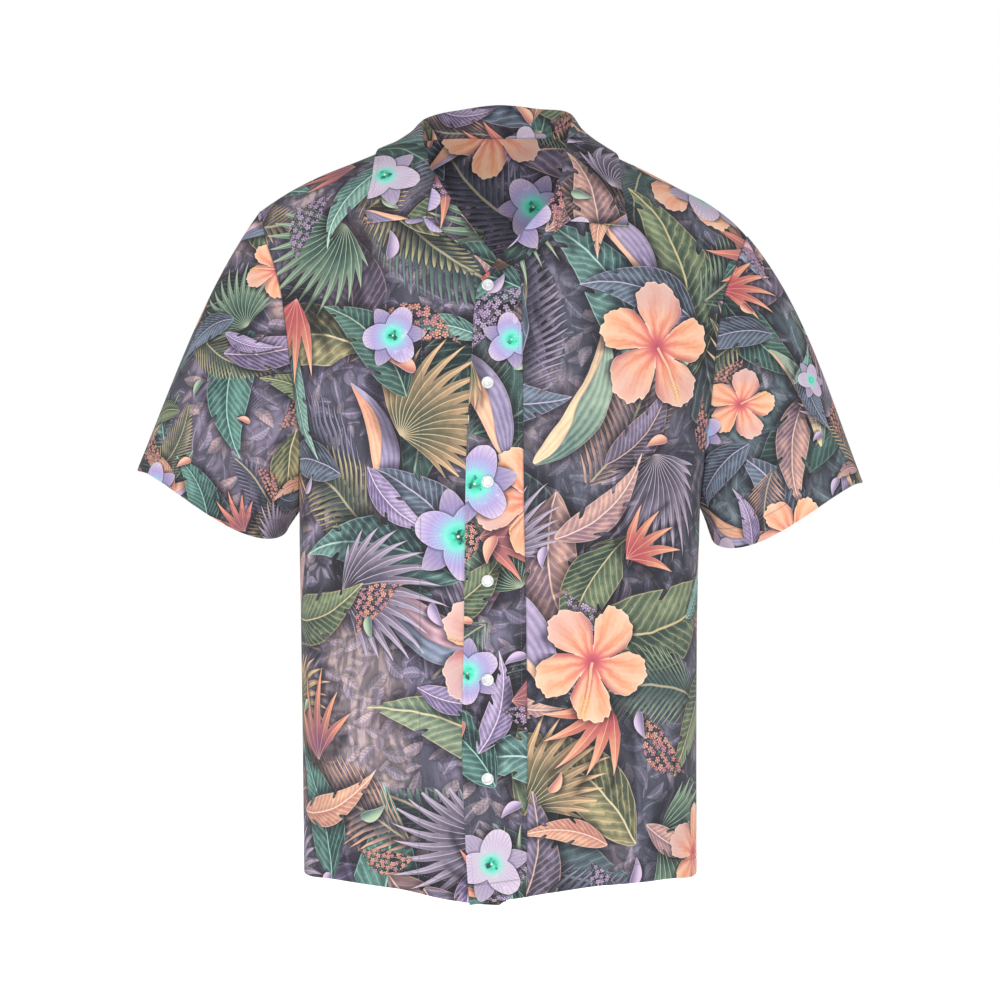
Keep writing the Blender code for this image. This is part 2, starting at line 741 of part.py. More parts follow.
def collar_half(side, table):
    """Half the collar, rows from the neck seam over the roll to the leaf's edge."""
    shares = np.linspace(0, 1, COLLAR_ROWS)
    path, marks = neck_path(side, table)
    run = np.r_[0, np.cumsum(np.linalg.norm(np.diff(path, axis=0), axis=1))]
    lines, lifts = [], []
    for k, row in enumerate(table):
        n, r, e = path[marks[k]], np.array(row[2:5]), np.array(row[5:8])
        if k < GORGE_AT:
            sag = np.array([-side * LEAF_SAG, 0, -LEAF_SAG / 2]) * (2 <= k <= 4)
            crest = r + unit(r - n) * 0.001
            leaf = e - r
            line = np.vstack(
                [n, n + (r - n) * 0.6, crest, r + leaf * 0.28 + sag, r + leaf * 0.62 + sag, e]
            )
            low = STAND_OFF + 0.0001 * (k > 3)  # a front section stays on the outside
            lifts.append(np.where(shares > (0.5 if k > 3 else 0.6), LAY, low))
        else:
            line = np.vstack([n + (e - n) * t for t in (0, 0.2, 0.4, 0.6, 0.8, 1)])
            lifts.append(np.full(COLLAR_ROWS, LAY))
        lines.append(even(line, shares))
    lines, lifts = np.array(lines), np.array(lifts)
    key = np.arange(len(table), dtype=float)
    fine = np.linspace(0, len(table) - 1, (len(table) - 1) * COLLAR_STEPS + 1)
    at = np.interp(fine, key, run[marks])
    seam = np.stack([np.interp(at, run, path[:, a]) for a in range(3)], 1)
    rows = np.array(
        [
            np.stack(
                [
                    catmull(key, lines[:, r, a], fine, lines[1, r, a] * (-1, 1, 1)[a])
                    for a in range(3)
                ],
                -1,
            )
            for r in range(COLLAR_ROWS)
        ]
    )
    # the stand follows the seam exactly, the leaf only its sections
    hold = np.clip(1 - shares / 0.4, 0, 1)[:, None, None]
    rows = rows + (seam - rows[:1]) * hold
    lift = np.stack([np.interp(fine, key, lifts[:, r]) for r in range(COLLAR_ROWS)])
    return rows, lift


def collar_grid(tree):
    right, lift_right = collar_half(-1, COLLAR_RIGHT)
    left, lift_left = collar_half(1, COLLAR_LEFT)
    grid = np.concatenate([right[:, :0:-1], left], axis=1)
    lift = np.concatenate([lift_right[:, :0:-1], lift_left], axis=1)
    grid[0] += unit(grid[1] - grid[0]) * ((GAP + WALL) * (lift[0] < LAY - 0.0001))[:, None]
    return settle(grid, lift, tree)


# ---------------------------------------------------------------- buttons


def button(name, centre, normal):
    """Round button with a raised rim, a dished face and a rounded back."""
    r = BUTTON_DIAMETER / 2
    profile = [
        # radius, height
        (0.0, 0.0014),
        (0.45 * r, 0.0014),
        (0.62 * r, 0.0016),
        (0.78 * r, 0.0024),
        (0.92 * r, 0.0024),
        (1.00 * r, 0.0017),
        (1.00 * r, 0.0009),
        (0.86 * r, 0.0000),
        (0.0, 0.0000),
    ]
    sides = 16
    z = unit(np.asarray(normal, float))
    x = unit(np.cross([0.0, 0.0, 1.0], z))
    y = np.cross(z, x)
    verts, faces = [], []
    for radius, height in profile[1:-1]:
        for k in range(sides):
            a = 2 * math.pi * k / sides
            verts.append(centre + z * height + radius * (x * math.cos(a) + y * math.sin(a)))
    rings = len(profile) - 2
    for i in range(rings - 1):
        for k in range(sides):
            j = (k + 1) % sides
            faces.append((i * sides + k, (i + 1) * sides + k, (i + 1) * sides + j, i * sides + j))
    faces.append(tuple(range(sides)))
    faces.append(tuple(reversed(range((rings - 1) * sides, rings * sides))))
    return add(name, verts, faces, (0.93, 0.93, 0.93), 0.35)


# ---------------------------------------------------------------- build


def build():
    for obj in list(bpy.data.objects):
        bpy.data.objects.remove(obj)

    right, left, back = front_grid(-1), front_grid(1), back_grid()
    band = placket_grid()
    # the right front passes behind the placket
    push = np.clip((right[..., 0] + 0.060) / 0.026, 0, 1)
    push = push * push * (3 - 2 * push)
    right[..., 1] += LAP_DROP * push

    def normals_out(p):
        centre = p * np.array([0.0, 0.0, 1.0])
        centre[..., 2] = np.minimum(centre[..., 2], -0.12)
        return outward(p, normals(p), centre)

    n_right, n_left, n_back = normals_out(right), normals_out(left), normals_out(back)
    # seams shared by two panels use the mean of their normals
    for front, n_front, col in ((right, n_right, 0), (left, n_left, -1)):
        mean = unit(n_front[: HEM_ROWS + 1, -1] + n_back[: HEM_ROWS + 1, col])
        n_front[: HEM_ROWS + 1, -1] = mean
        n_back[: HEM_ROWS + 1, col] = mean
    r = RIDGE_COLS + 1
    mean = unit(n_right[-1, -r:] + n_back[-1, :r][::-1])
    n_right[-1, -r:], n_back[-1, :r] = mean, mean[::-1]
    mean = unit(n_left[-1, -r:] + n_back[-1, -r:])
    n_left[-1, -r:], n_back[-1, -r:] = mean, mean

    green, plum, peach = (0.16, 0.24, 0.22), (0.25, 0.22, 0.30), (0.62, 0.38, 0.28)
    panel("front_right", right, n_right, plum)
    panel("front_left", left, n_left, green)
    panel("back", back, n_back, (0.20, 0.22, 0.26))
    panel("placket", band, normals_out(band), peach)

    for side, front, n_front, name, shade in (
        (-1, right, n_right, "sleeve_right", (0.30, 0.28, 0.34)),
        (1, left, n_left, "sleeve_left", (0.20, 0.30, 0.28)),
    ):
        a = slice(HEM_ROWS, HEM_ROWS + ARM_ROWS + 1)
        fp, bp = front[a, -1], back[a, 0 if side < 0 else -1]
        fn, bn = n_front[a, -1], n_back[a, 0 if side < 0 else -1]
        fe = unit(fp - front[a, -2])
        be = unit(bp - back[a, 1 if side < 0 else -2])
        arm = np.vstack([fp, bp[1:-1][::-1]])
        arm_n = np.vstack([fn, bn[1:-1][::-1]])
        arm_e = np.vstack([fe, be[1:-1][::-1]])
        arm_e[0] = (0.0, 0.0, 1.0)
        grid = sleeve_grid(side, arm, arm_n, arm_e)
        n = ring_normals(grid)
        n = outward(grid, n, grid.mean(axis=1, keepdims=True))
        panel(name, grid, n, shade, sides=(), ring=True)

    collar = collar_grid(tree_of([(right, n_right), (left, n_left), (back, n_back)]))
    n = normals(collar)
    n = n if n[-1, len(n[0]) // 2, 1] > 0 else -n
    panel("collar", collar, n, (0.34, 0.28, 0.36), sides=())

    for side, table, name in ((-1, LAPEL_RIGHT, "lapel_right"), (1, LAPEL_LEFT, "lapel_left")):
        t = np.array(table)
        roll = through(t[:, :2], 10)
        edge = through(t[:, 2:], 10)
        s = np.linspace(0, 1, 5)[None, :, None]
        xz = roll[:, None] * (1 - s) + edge[:, None] * s
        grid = raised(xz[..., 0], xz[..., 1], LAY * np.ones(xz.shape[:2]))
        n = normals(grid)
        n = n if n[..., 1].sum() < 0 else -n
        panel(name, grid, n, (0.45, 0.36, 0.42), sides=("bottom",))

    for k in range(BUTTON_COUNT):
        z = BUTTON_TOP_Z - k * BUTTON_PITCH
        p = on_body(BUTTON_X, z)
        q = raised(BUTTON_X, z, 0.01)
        n = unit(q - p)
        button(f"button_{k + 1}", p + n * (WALL / 2 + GAP), n)


build()
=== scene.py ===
"""Looks of the hawaiian shirt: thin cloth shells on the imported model, with hems, seams, a rolled
collar and lapels, fine stitching, buttons, and an all-over tropical print.

Metres, +Z up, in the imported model's own frame. The front faces -Y, +X is the wearer's left.
"""

import math

import bpy
import numpy as np
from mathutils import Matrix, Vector
from mathutils.bvhtree import BVHTree


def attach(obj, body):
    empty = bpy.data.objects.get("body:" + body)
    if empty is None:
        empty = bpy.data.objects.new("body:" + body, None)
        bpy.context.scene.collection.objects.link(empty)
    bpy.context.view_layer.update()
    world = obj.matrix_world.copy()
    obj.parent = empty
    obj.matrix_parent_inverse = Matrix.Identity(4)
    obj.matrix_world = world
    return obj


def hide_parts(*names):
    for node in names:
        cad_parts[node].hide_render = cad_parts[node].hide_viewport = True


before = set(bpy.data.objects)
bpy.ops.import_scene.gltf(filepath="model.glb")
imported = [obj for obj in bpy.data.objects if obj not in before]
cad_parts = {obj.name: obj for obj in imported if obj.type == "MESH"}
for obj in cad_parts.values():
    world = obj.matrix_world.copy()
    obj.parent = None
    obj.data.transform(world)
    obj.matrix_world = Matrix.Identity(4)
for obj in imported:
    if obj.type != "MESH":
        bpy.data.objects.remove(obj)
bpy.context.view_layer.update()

# ================================================================ sizes of the cut
WALL = 0.0014  # thickness of the solids' walls
GAP = 0.0003
LAP_DROP = 0.0026  # how far the under front sits behind the placket
LAY = 0.0028  # height of a turned-out layer's middle above the panel it lies on
STAND_OFF = 0.0023

HEM_Z = -0.7290
UNDERARM_Z = -0.3660
NECK_Z = 0.0117
SECTION_POWER = 2.35
SHOULDER_POWER = 2.4

UNDER_EDGE_X = 0.0060
BUTTON_X = -0.0115
BUTTON_DIAMETER = 0.0114
BUTTON_TOP_Z = -0.1585
BUTTON_PITCH = 0.0922
BUTTON_COUNT = 6

CLOTH = 0.0009  # thickness of one layer as it shows
HEM_DEPTH = 0.0190  # turned-up hem at the body's lower edge
CUFF_DEPTH = 0.0220  # turned-up hem at a sleeve's end
STEP = 0.0033  # spacing of the shells' points

# body sections: height, half width on the wearer's right and left, depth to front and back.
# Above the underarm the sections are wider than the cloth, which the armholes cut short
SECTIONS = [
    # z,     right,  left,   front,  back
    (-0.745, 0.1942, 0.1953, 0.1360, 0.1250),
    (-0.620, 0.1955, 0.1950, 0.1370, 0.1265),
    (-0.500, 0.1972, 0.1953, 0.1390, 0.1290),
    (-0.400, 0.1988, 0.1975, 0.1408, 0.1320),
    (-0.366, 0.1990, 0.1985, 0.1410, 0.1330),
    (-0.313, 0.2035, 0.2070, 0.1412, 0.1345),
    (-0.268, 0.2125, 0.2185, 0.1410, 0.1350),
    (-0.216, 0.2240, 0.2290, 0.1395, 0.1350),
    (-0.160, 0.2345, 0.2410, 0.1370, 0.1340),
    (-0.100, 0.2520, 0.2610, 0.1340, 0.1320),
    (-0.050, 0.2640, 0.2740, 0.1310, 0.1300),
    (0.020, 0.2760, 0.2860, 0.1280, 0.1260),
]
# armhole seam seen from the front: half width at each height
ARMHOLE = [
    # z,     right,  left
    (-0.366, 0.1990, 0.1985),
    (-0.345, 0.1968, 0.1990),
    (-0.313, 0.1950, 0.2000),
    (-0.268, 0.1985, 0.2045),
    (-0.216, 0.2045, 0.2090),
    (-0.160, 0.2125, 0.2185),
    (-0.130, 0.2205, 0.2310),
    (-0.110, 0.2278, 0.2395),
]
# placket band: its seam to the left front and its free front edge at each height
PLACKET = [
    # z,     seam x, edge x
    (-0.745, 0.0238, -0.0278),
    (-0.690, 0.0254, -0.0318),
    (-0.575, 0.0255, -0.0354),
    (-0.480, 0.0244, -0.0336),
    (-0.341, 0.0220, -0.0320),
    (-0.260, 0.0213, -0.0286),
    (-0.186, 0.0209, -0.0245),
    (-0.135, 0.0178, -0.0210),
    (-0.112, 0.0155, -0.0190),
]
# shoulder ridge: distance from the centre, height on the wearer's right and left
RIDGE = [
    # x,     right,   left
    (0.0780, 0.0020, 0.0020),
    (0.0950, -0.0050, -0.0075),
    (0.1130, -0.0120, -0.0185),
    (0.1400, -0.0230, -0.0310),
    (0.1780, -0.0380, -0.0505),
    (0.2055, -0.0515, -0.0645),
    (0.2300, -0.0665, -0.0820),
    (0.2400, -0.0735, -0.0915),
    (0.2600, -0.0900, -0.1120),
]
TIP_RIGHT, TIP_LEFT = 0.2375, 0.2455  # shoulder tips, from the centre
NECK_RIGHT, NECK_LEFT = 0.0820, 0.0780  # side neck points, from the centre
# neck edge of each front, from the side neck down to the foot of the V
NECK_EDGE_RIGHT = [
    # x,      z
    (-0.0820, 0.0005),
    (-0.0780, -0.0180),
    (-0.0715, -0.0350),
    (-0.0612, -0.0500),
    (-0.0480, -0.0715),
    (-0.0270, -0.1015),
    (-0.0030, -0.1320),
    (0.0060, -0.1415),
]
NECK_EDGE_LEFT = [
    # x,      z
    (0.0780, 0.0005),
    (0.0735, -0.0170),
    (0.0650, -0.0350),
    (0.0550, -0.0555),
    (0.0500, -0.0720),
    (0.0320, -0.0935),
    (0.0157, -0.1140),
    (0.0010, -0.1300),
    (-0.0178, -0.1530),
    (-0.0222, -0.1660),
    (-0.0245, -0.1860),
]
# hem: how far below HEM_Z it hangs, by distance along the half section from the centre
HEM_DROP = [
    # share, right,  left
    (0.00, 0.0093, 0.0067),
    (0.05, 0.0080, 0.0016),
    (0.12, 0.0046, -0.0023),
    (0.30, -0.0048, -0.0075),
    (0.55, -0.0071, -0.0073),
    (0.80, -0.0028, -0.0018),
    (1.00, 0.0000, 0.0000),
]

# collar sections from the back centre to each front end. The first GORGE_AT + 1 rows are sewn
# to the neck edge, the rest to the lapel's end. Roll is the fold's crest and edge the leaf's
# outer edge, both (x, y, z)
COLLAR_RIGHT = [
    # neck x, neck z, roll x,   y,      z,      edge x,   y,      z
    (0.0000, 0.0117, 0.0000, 0.0730, 0.0482, 0.0000, 0.0950, -0.0120),
    (-0.0400, 0.0117, -0.0400, 0.0640, 0.0434, -0.0600, 0.0830, -0.0140),
    (-0.0690, 0.0105, -0.0660, 0.0370, 0.0340, -0.0990, 0.0500, -0.0140),
    (-0.0820, 0.0020, -0.0775, 0.0020, 0.0195, -0.1165, 0.0050, -0.0105),
    (-0.0780, -0.0180, -0.0755, -0.0360, 0.0000, -0.1215, -0.0500, -0.0300),
    (-0.0715, -0.0350, -0.0705, -0.0665, -0.0260, -0.1238, -0.0710, -0.0500),
    (-0.0624, -0.0488, -0.0612, -0.0860, -0.0490, -0.1270, -0.0800, -0.0680),
    (-0.0664, -0.0700, -0.0671, -0.0930, -0.0700, -0.1291, -0.0870, -0.0830),
    (-0.0699, -0.0932, -0.0706, -0.1028, -0.0932, -0.1307, -0.0915, -0.0965),
]
COLLAR_LEFT = [
    # neck x, neck z, roll x,   y,      z,      edge x,   y,      z
    (0.0000, 0.0117, 0.0000, 0.0730, 0.0482, 0.0000, 0.0950, -0.0120),
    (0.0400, 0.0117, 0.0410, 0.0640, 0.0442, 0.0590, 0.0830, -0.0150),
    (0.0670, 0.0105, 0.0660, 0.0370, 0.0375, 0.0960, 0.0500, -0.0160),
    (0.0780, 0.0020, 0.0725, 0.0020, 0.0225, 0.1105, 0.0050, -0.0155),
    (0.0735, -0.0170, 0.0675, -0.0420, -0.0020, 0.1150, -0.0530, -0.0370),
    (0.0650, -0.0350, 0.0605, -0.0750, -0.0300, 0.1170, -0.0715, -0.0560),
    (0.0563, -0.0543, 0.0550, -0.0890, -0.0545, 0.1188, -0.0820, -0.0700),
    (0.0610, -0.0760, 0.0617, -0.0965, -0.0760, 0.1206, -0.0885, -0.0850),
    (0.0654, -0.0968, 0.0661, -0.1045, -0.0968, 0.1233, -0.0940, -0.1000),
]
GORGE_AT = 6  # row of the tables above where the gorge starts
LEAF_SAG = 0.0020  # how far the leaf hollows between its crest and its edge at the shoulder
# lapels: outer edge against the roll line, as shares of the way from the gorge to the foot
LAPEL_RIGHT = [
    # roll x, roll z,  edge x,  edge z
    (-0.0612, -0.0500, -0.0683, -0.0935),
    (-0.0480, -0.0715, -0.0570, -0.1040),
    (-0.0270, -0.1015, -0.0370, -0.1210),
    (-0.0100, -0.1230, -0.0150, -0.1330),
]
LAPEL_LEFT = [
    # roll x, roll z,  edge x,  edge z
    (0.0550, -0.0555, 0.0640, -0.0970),
    (0.0500, -0.0720, 0.0560, -0.1040),
    (0.0320, -0.0935, 0.0420, -0.1180),
    (0.0157, -0.1140, 0.0245, -0.1330),
    (0.0010, -0.1300, 0.0060, -0.1420),
    (-0.0085, -0.1420, -0.0065, -0.1480),
]

# sleeves: the cuff's upper and lower points (x from the centre, z), its half depth, how far
# its front edge hangs beyond the chord, and the way the cloth leaves the armhole
SLEEVES = {
    # name:   top x,  top z,   low x,  low z,   depth, front hang, back hang
    "right": (0.3620, -0.3310, 0.2140, -0.3920, 0.0620, 0.0160, -0.0050),
    "left": (0.3620, -0.3430, 0.2130, -0.4010, 0.0620, 0.0160, -0.0050),
}

CUFF_LIFT = 0.0085  # how far the upper half of the front cuff edge rises above the chord

# ---------------------------------------------------------------- smooth tables


def smooth(xs, ys, x):
    """Monotone cubic through the rows of a table."""
    xs, ys, x = np.asarray(xs, float), np.asarray(ys, float), np.asarray(x, float)
    step, rise = np.diff(xs), np.diff(ys)
    slope = rise / step
    m = np.empty_like(ys)
    m[0], m[-1] = slope[0], slope[-1]
    same = slope[:-1] * slope[1:] > 0
    with np.errstate(divide="ignore", invalid="ignore"):
        mean = 2 * slope[:-1] * slope[1:] / (slope[:-1] + slope[1:])
    m[1:-1] = np.where(same, mean, 0.0)
    x = np.clip(x, xs[0], xs[-1])
    i = np.clip(np.searchsorted(xs, x, side="right") - 1, 0, len(xs) - 2)
    t = (x - xs[i]) / step[i]
    return (
        ys[i] * (1 + 2 * t) * (1 - t) ** 2
        + ys[i + 1] * t * t * (3 - 2 * t)
        + step[i] * (m[i] * t * (1 - t) ** 2 - m[i + 1] * t * t * (1 - t))
    )


def column(table, k):
    return [row[k] for row in table]


def through(points, count):
    """Catmull-Rom curve through table points, at even steps of length."""
    p = np.asarray(points, float)
    ends = np.vstack([2 * p[0] - p[1], p, 2 * p[-1] - p[-2]])
    t = np.linspace(0, 1, 24, endpoint=False)[:, None]
    parts = []
    for a, b, c, d in zip(ends[:-3], ends[1:-2], ends[2:-1], ends[3:], strict=True):
        parts.append(
            0.5
            * (
                2 * b
                + (c - a) * t
                + (2 * a - 5 * b + 4 * c - d) * t * t
                + (3 * b - a - 3 * c + d) * t**3
            )
        )
    line = np.vstack([*parts, p[-1:]])
    return even(line, np.linspace(0, 1, count))


def even(line, shares):
    """Points at given shares of a polyline's length."""
    run = np.r_[0, np.cumsum(np.linalg.norm(np.diff(line, axis=0), axis=1))]
    at = np.asarray(shares) * run[-1]
    return np.stack([np.interp(at, run, line[:, k]) for k in range(line.shape[1])], 1)


# ---------------------------------------------------------------- the body surface


def half_width(side, z):
    return smooth(column(SECTIONS, 0), column(SECTIONS, 1 if side < 0 else 2), z)


def ridge(side, x):
    return smooth(column(RIDGE, 0), column(RIDGE, 1 if side < 0 else 2), np.abs(x))


def closing(side, x, z, back):
    """How much of the body's depth is left at a height: 1 at the chest, 0 on the ridge."""
    top = ridge(side, x)
    if back:
        dome = np.clip(1 - (np.abs(x) / 0.078) ** 2.0, 0, 1)
        top = top + 0.0400 * dome**0.75
    w = np.clip((z - UNDERARM_Z) / (top - UNDERARM_Z), 0, 1)
    return (1 - w**SHOULDER_POWER) ** (1 / SHOULDER_POWER)


def body(q, z, back=False):
    """The body surface. q is the signed section angle, -1 at the right side seam, 0 at the
    centre and 1 at the left side seam."""
    q, z = np.broadcast_arrays(np.asarray(q, float), np.asarray(z, float))
    half = np.where(q < 0, half_width(-1, z), half_width(1, z))
    e = 2 / SECTION_POWER
    x = np.sign(q) * half * np.sin(np.abs(q) * math.pi / 2) ** e
    depth = smooth(column(SECTIONS, 0), column(SECTIONS, 4 if back else 3), z)
    c = np.clip(np.cos(np.abs(q) * math.pi / 2), 0, 1) ** e
    shut = np.where(q < 0, closing(-1, x, z, back), closing(1, x, z, back))
    return np.stack([x, (1 if back else -1) * depth * c * shut, z], -1)


def angle(x, z):
    """Section angle of a point given by its place across and its height."""
    x, z = np.broadcast_arrays(np.asarray(x, float), np.asarray(z, float))
    half = np.where(x < 0, half_width(-1, z), half_width(1, z))
    s = np.clip(np.abs(x) / half, 0, 1) ** (SECTION_POWER / 2)
    return np.sign(x) * np.arcsin(s) * 2 / math.pi


def on_body(x, z, back=False):
    return body(angle(x, z), z, back)


def arm_angle(side, z):
    """Section angle of the armhole seam, which ends on the shoulder tip."""
    tip = TIP_RIGHT if side < 0 else TIP_LEFT
    seam = smooth(
        [*column(ARMHOLE, 0), float(ridge(side, tip))],
        [*column(ARMHOLE, 1 if side < 0 else 2), tip],
        z,
    )
    return np.abs(angle(side * seam, z))


def hem_z(q):
    k = np.where(np.asarray(q) < 0, 1, 2)
    share = np.abs(q)
    right = smooth(column(HEM_DROP, 0), column(HEM_DROP, 1), share)
    left = smooth(column(HEM_DROP, 0), column(HEM_DROP, 2), share)
    return HEM_Z - np.where(k == 1, right, left)

# ================================================================ the cut at full density
# Every panel is a grid over (k, r): k runs across in the solids' column numbers, r up in their
# row numbers, so that the shells follow the same surface, only finer.
HEM_ROWS, ARM_ROWS = 9, 11
NECK_COLS, RIDGE_COLS, BACK_NECK_COLS = 8, 5, 12
SLEEVE_RINGS = 8
COLLAR_STEPS, COLLAR_ROWS = 3, 9
ROWS = HEM_ROWS + ARM_ROWS


def seam_x(z):
    return smooth(column(PLACKET, 0), column(PLACKET, 1), z)


def edge_x(z):
    return smooth(column(PLACKET, 0), column(PLACKET, 2), z)


def unit(v):
    return v / np.maximum(np.linalg.norm(v, axis=-1, keepdims=True), 1e-12)


def cross_grid(p):
    return unit(np.cross(np.gradient(p, axis=1), np.gradient(p, axis=0)))


def ring_cross(p):
    du = np.roll(p, -1, axis=1) - np.roll(p, 1, axis=1)
    return unit(np.cross(du, np.gradient(p, axis=0)))


def coons(bottom, top, first, last, u, v):
    """Fills four edges at column shares u and row shares v."""
    u, v = np.asarray(u)[None, :, None], np.asarray(v)[:, None, None]
    return (
        (1 - v) * bottom[None]
        + v * top[None]
        + (1 - u) * first[:, None]
        + u * last[:, None]
        - (1 - u) * (1 - v) * bottom[0]
        - u * (1 - v) * bottom[-1]
        - (1 - u) * v * top[0]
        - u * v * top[-1]
    )


def tip_x(side):
    return TIP_RIGHT if side < 0 else TIP_LEFT


def side_edge(side, r):
    """Side seam and armhole seam at row numbers r."""
    top = float(ridge(side, tip_x(side)))
    low = float(hem_z(side)) + (UNDERARM_Z - float(hem_z(side))) * r / HEM_ROWS
    s = np.clip((r - HEM_ROWS) / ARM_ROWS, 0, 1)
    high = UNDERARM_Z + (top - UNDERARM_Z) * (0.5 - 0.5 * np.cos(math.pi * s)) ** 0.9
    q = np.where(r <= HEM_ROWS, 1.0, arm_angle(side, high))
    return np.stack([side * q, np.where(r <= HEM_ROWS, low, high)], 1)


def ridge_edge(side, share):
    """Shoulder seam at shares of the way from the side neck to the tip."""
    neck = NECK_RIGHT if side < 0 else NECK_LEFT
    x = neck + (tip_x(side) - neck) * np.asarray(share)
    z = ridge(side, x)
    q = angle(side * x, z)
    q = np.where(np.asarray(share) >= 1, side * arm_angle(side, z), q)
    return np.stack([q, z], 1)


def neck_edge(side):
    return np.array(NECK_EDGE_RIGHT if side < 0 else NECK_EDGE_LEFT)[::-1]


def crossing(line):
    """The part of a neck edge that lies beyond the placket seam, starting on it."""
    f = line[:, 0] - seam_x(line[:, 1])
    for i in range(len(line) - 1):
        if f[i] * f[i + 1] <= 0 and f[i] != f[i + 1]:
            t = -f[i] / (f[i + 1] - f[i])
            return np.vstack([line[i] + t * (line[i + 1] - line[i]), line[i + 1 :]])
    return line


def smooth_line(points):
    line = through(points, 40 * len(points))
    return even(line, 1 - np.linspace(1, 0, 400) ** 3)


def vee_line(side):
    """A front's neck edge as a dense (x, z) line, up to the shoulder seam's own end."""
    line = smooth_line(neck_edge(side))
    x = side * (NECK_RIGHT if side < 0 else NECK_LEFT)
    end = np.array([x, float(ridge(side, x))])
    t = (1 - np.linspace(1, 0, 120) ** 3)[1:, None]
    return np.vstack([line, line[-1] + (end - line[-1]) * t])


def along_body(line, shares, back=False):
    """Points of a dense (x, z) line at shares of its length along the body surface."""
    p = on_body(line[:, 0], line[:, 1], back)
    run = np.r_[0, np.cumsum(np.linalg.norm(np.diff(p, axis=0), axis=1))]
    at = np.asarray(shares) * run[-1]
    return np.stack([np.interp(at, run, line[:, 0]), np.interp(at, run, line[:, 1])], 1)


def neck_back_x(turn):
    return np.where(turn < 0, NECK_RIGHT, NECK_LEFT) * np.sin(turn * math.pi / 2)


def neck_back_z(x):
    side = np.where(np.asarray(x) < 0, NECK_RIGHT, NECK_LEFT)
    share = np.clip(np.abs(x) / side, 0, 1)
    end = np.where(np.asarray(x) < 0, ridge(-1, NECK_RIGHT), ridge(1, NECK_LEFT))
    return NECK_Z + (end - NECK_Z) * share**4


def hem_back_z(q):
    return HEM_Z - 0.004 * (1 - np.abs(q) ** 2)


def front_qz(side, k, r):
    vee = vee_line(side)
    if side > 0:
        vee = crossing(vee)
    cols = NECK_COLS + RIDGE_COLS
    neck = along_body(vee, np.clip(k / NECK_COLS, 0, 1))
    neck = np.stack([angle(neck[:, 0], neck[:, 1]), neck[:, 1]], 1)
    top = np.where((k < NECK_COLS)[:, None], neck, ridge_edge(side, (k - NECK_COLS) / RIDGE_COLS))
    low_x = UNDER_EDGE_X if side < 0 else float(seam_x(HEM_Z))
    first_z = float(hem_z(angle(low_x, HEM_Z))) * (1 - r / ROWS) + vee[0, 1] * r / ROWS
    first_x = np.full(len(r), UNDER_EDGE_X) if side < 0 else seam_x(first_z)
    first = np.stack([angle(first_x, first_z), first_z], 1)
    bottom_q = first[0, 0] + (side - first[0, 0]) * k / cols
    bottom = np.stack([bottom_q, hem_z(bottom_q)], 1)
    return coons(bottom, top, first, side_edge(side, r), k / cols, r / ROWS)


def back_qz(k, r):
    cols = 2 * RIDGE_COLS + BACK_NECK_COLS
    s = np.linspace(-1, 1, 4001)
    turn = np.sign(s) * (1 - (1 - np.abs(s)) ** 3)
    line = np.stack([neck_back_x(turn), neck_back_z(neck_back_x(turn))], 1)
    neck = along_body(line, np.clip((k - RIDGE_COLS) / BACK_NECK_COLS, 0, 1), True)
    neck = np.stack([angle(neck[:, 0], neck[:, 1]), neck[:, 1]], 1)
    right = ridge_edge(-1, np.clip(1 - k / RIDGE_COLS, 0, 1))
    left = ridge_edge(1, np.clip((k - cols + RIDGE_COLS) / RIDGE_COLS, 0, 1))
    top = np.where(
        (k <= RIDGE_COLS)[:, None], right, np.where((k >= cols - RIDGE_COLS)[:, None], left, neck)
    )
    q = k / cols * 2 - 1
    bottom = np.stack([q, hem_back_z(q)], 1)
    return coons(bottom, top, side_edge(-1, r), side_edge(1, r), k / cols, r / ROWS)


def lines_in(low, high, count, edges=True):
    """Even steps between two numbers, with a few finer ones next to both ends."""
    k = np.linspace(0, count, count + 1)
    if edges:
        near = np.array([0.09, 0.22, 0.45])
        k = np.unique(np.r_[k, near, count - near])
    return low + (high - low) * k / count


def spread(points, qz, fixed, count):
    """Resamples each column's (angle, height) above a fixed row to even steps of length."""
    out = np.empty((fixed + count + 1, qz.shape[1], 2))
    out[:fixed] = qz[:fixed]
    share = lines_in(0, 1, count, False)
    for c in range(qz.shape[1]):
        line = points[fixed:, c]
        run = np.r_[0, np.cumsum(np.linalg.norm(np.diff(line, axis=0), axis=1))]
        at = share * run[-1]
        out[fixed:, c, 0] = np.interp(at, run, qz[fixed:, c, 0])
        out[fixed:, c, 1] = np.interp(at, run, qz[fixed:, c, 1])
    return out


def insert_rows(qz, near=(0.09, 0.22, 0.45)):
    """Adds the finer rows next to the first and the last row of a grid."""
    n = len(qz) - 1
    at = np.unique(np.r_[np.arange(n + 1), near, n - np.array(near)])
    i = np.minimum(at.astype(int), n - 1)
    t = (at - i)[:, None, None]
    return qz[i] * (1 - t) + qz[i + 1] * t


def body_panel(make, cols, back=False):
    """A front's or the back's dense (angle, height) grid and its points."""
    low = int(round(0.363 / STEP))
    fine = 1 - (1 - np.linspace(0, 1, 500)) ** 3
    r = np.r_[np.linspace(0, HEM_ROWS, low + 1)[:-1], HEM_ROWS + ARM_ROWS * fine]
    qz = make(cols, r)
    points = body(qz[..., 0], qz[..., 1], back)
    mid = points[low:, qz.shape[1] // 2]
    count = int(round(np.linalg.norm(np.diff(mid, axis=0), axis=1).sum() / STEP))
    qz = insert_rows(spread(points, qz, low, count))
    return qz, body(qz[..., 0], qz[..., 1], back), low + 3


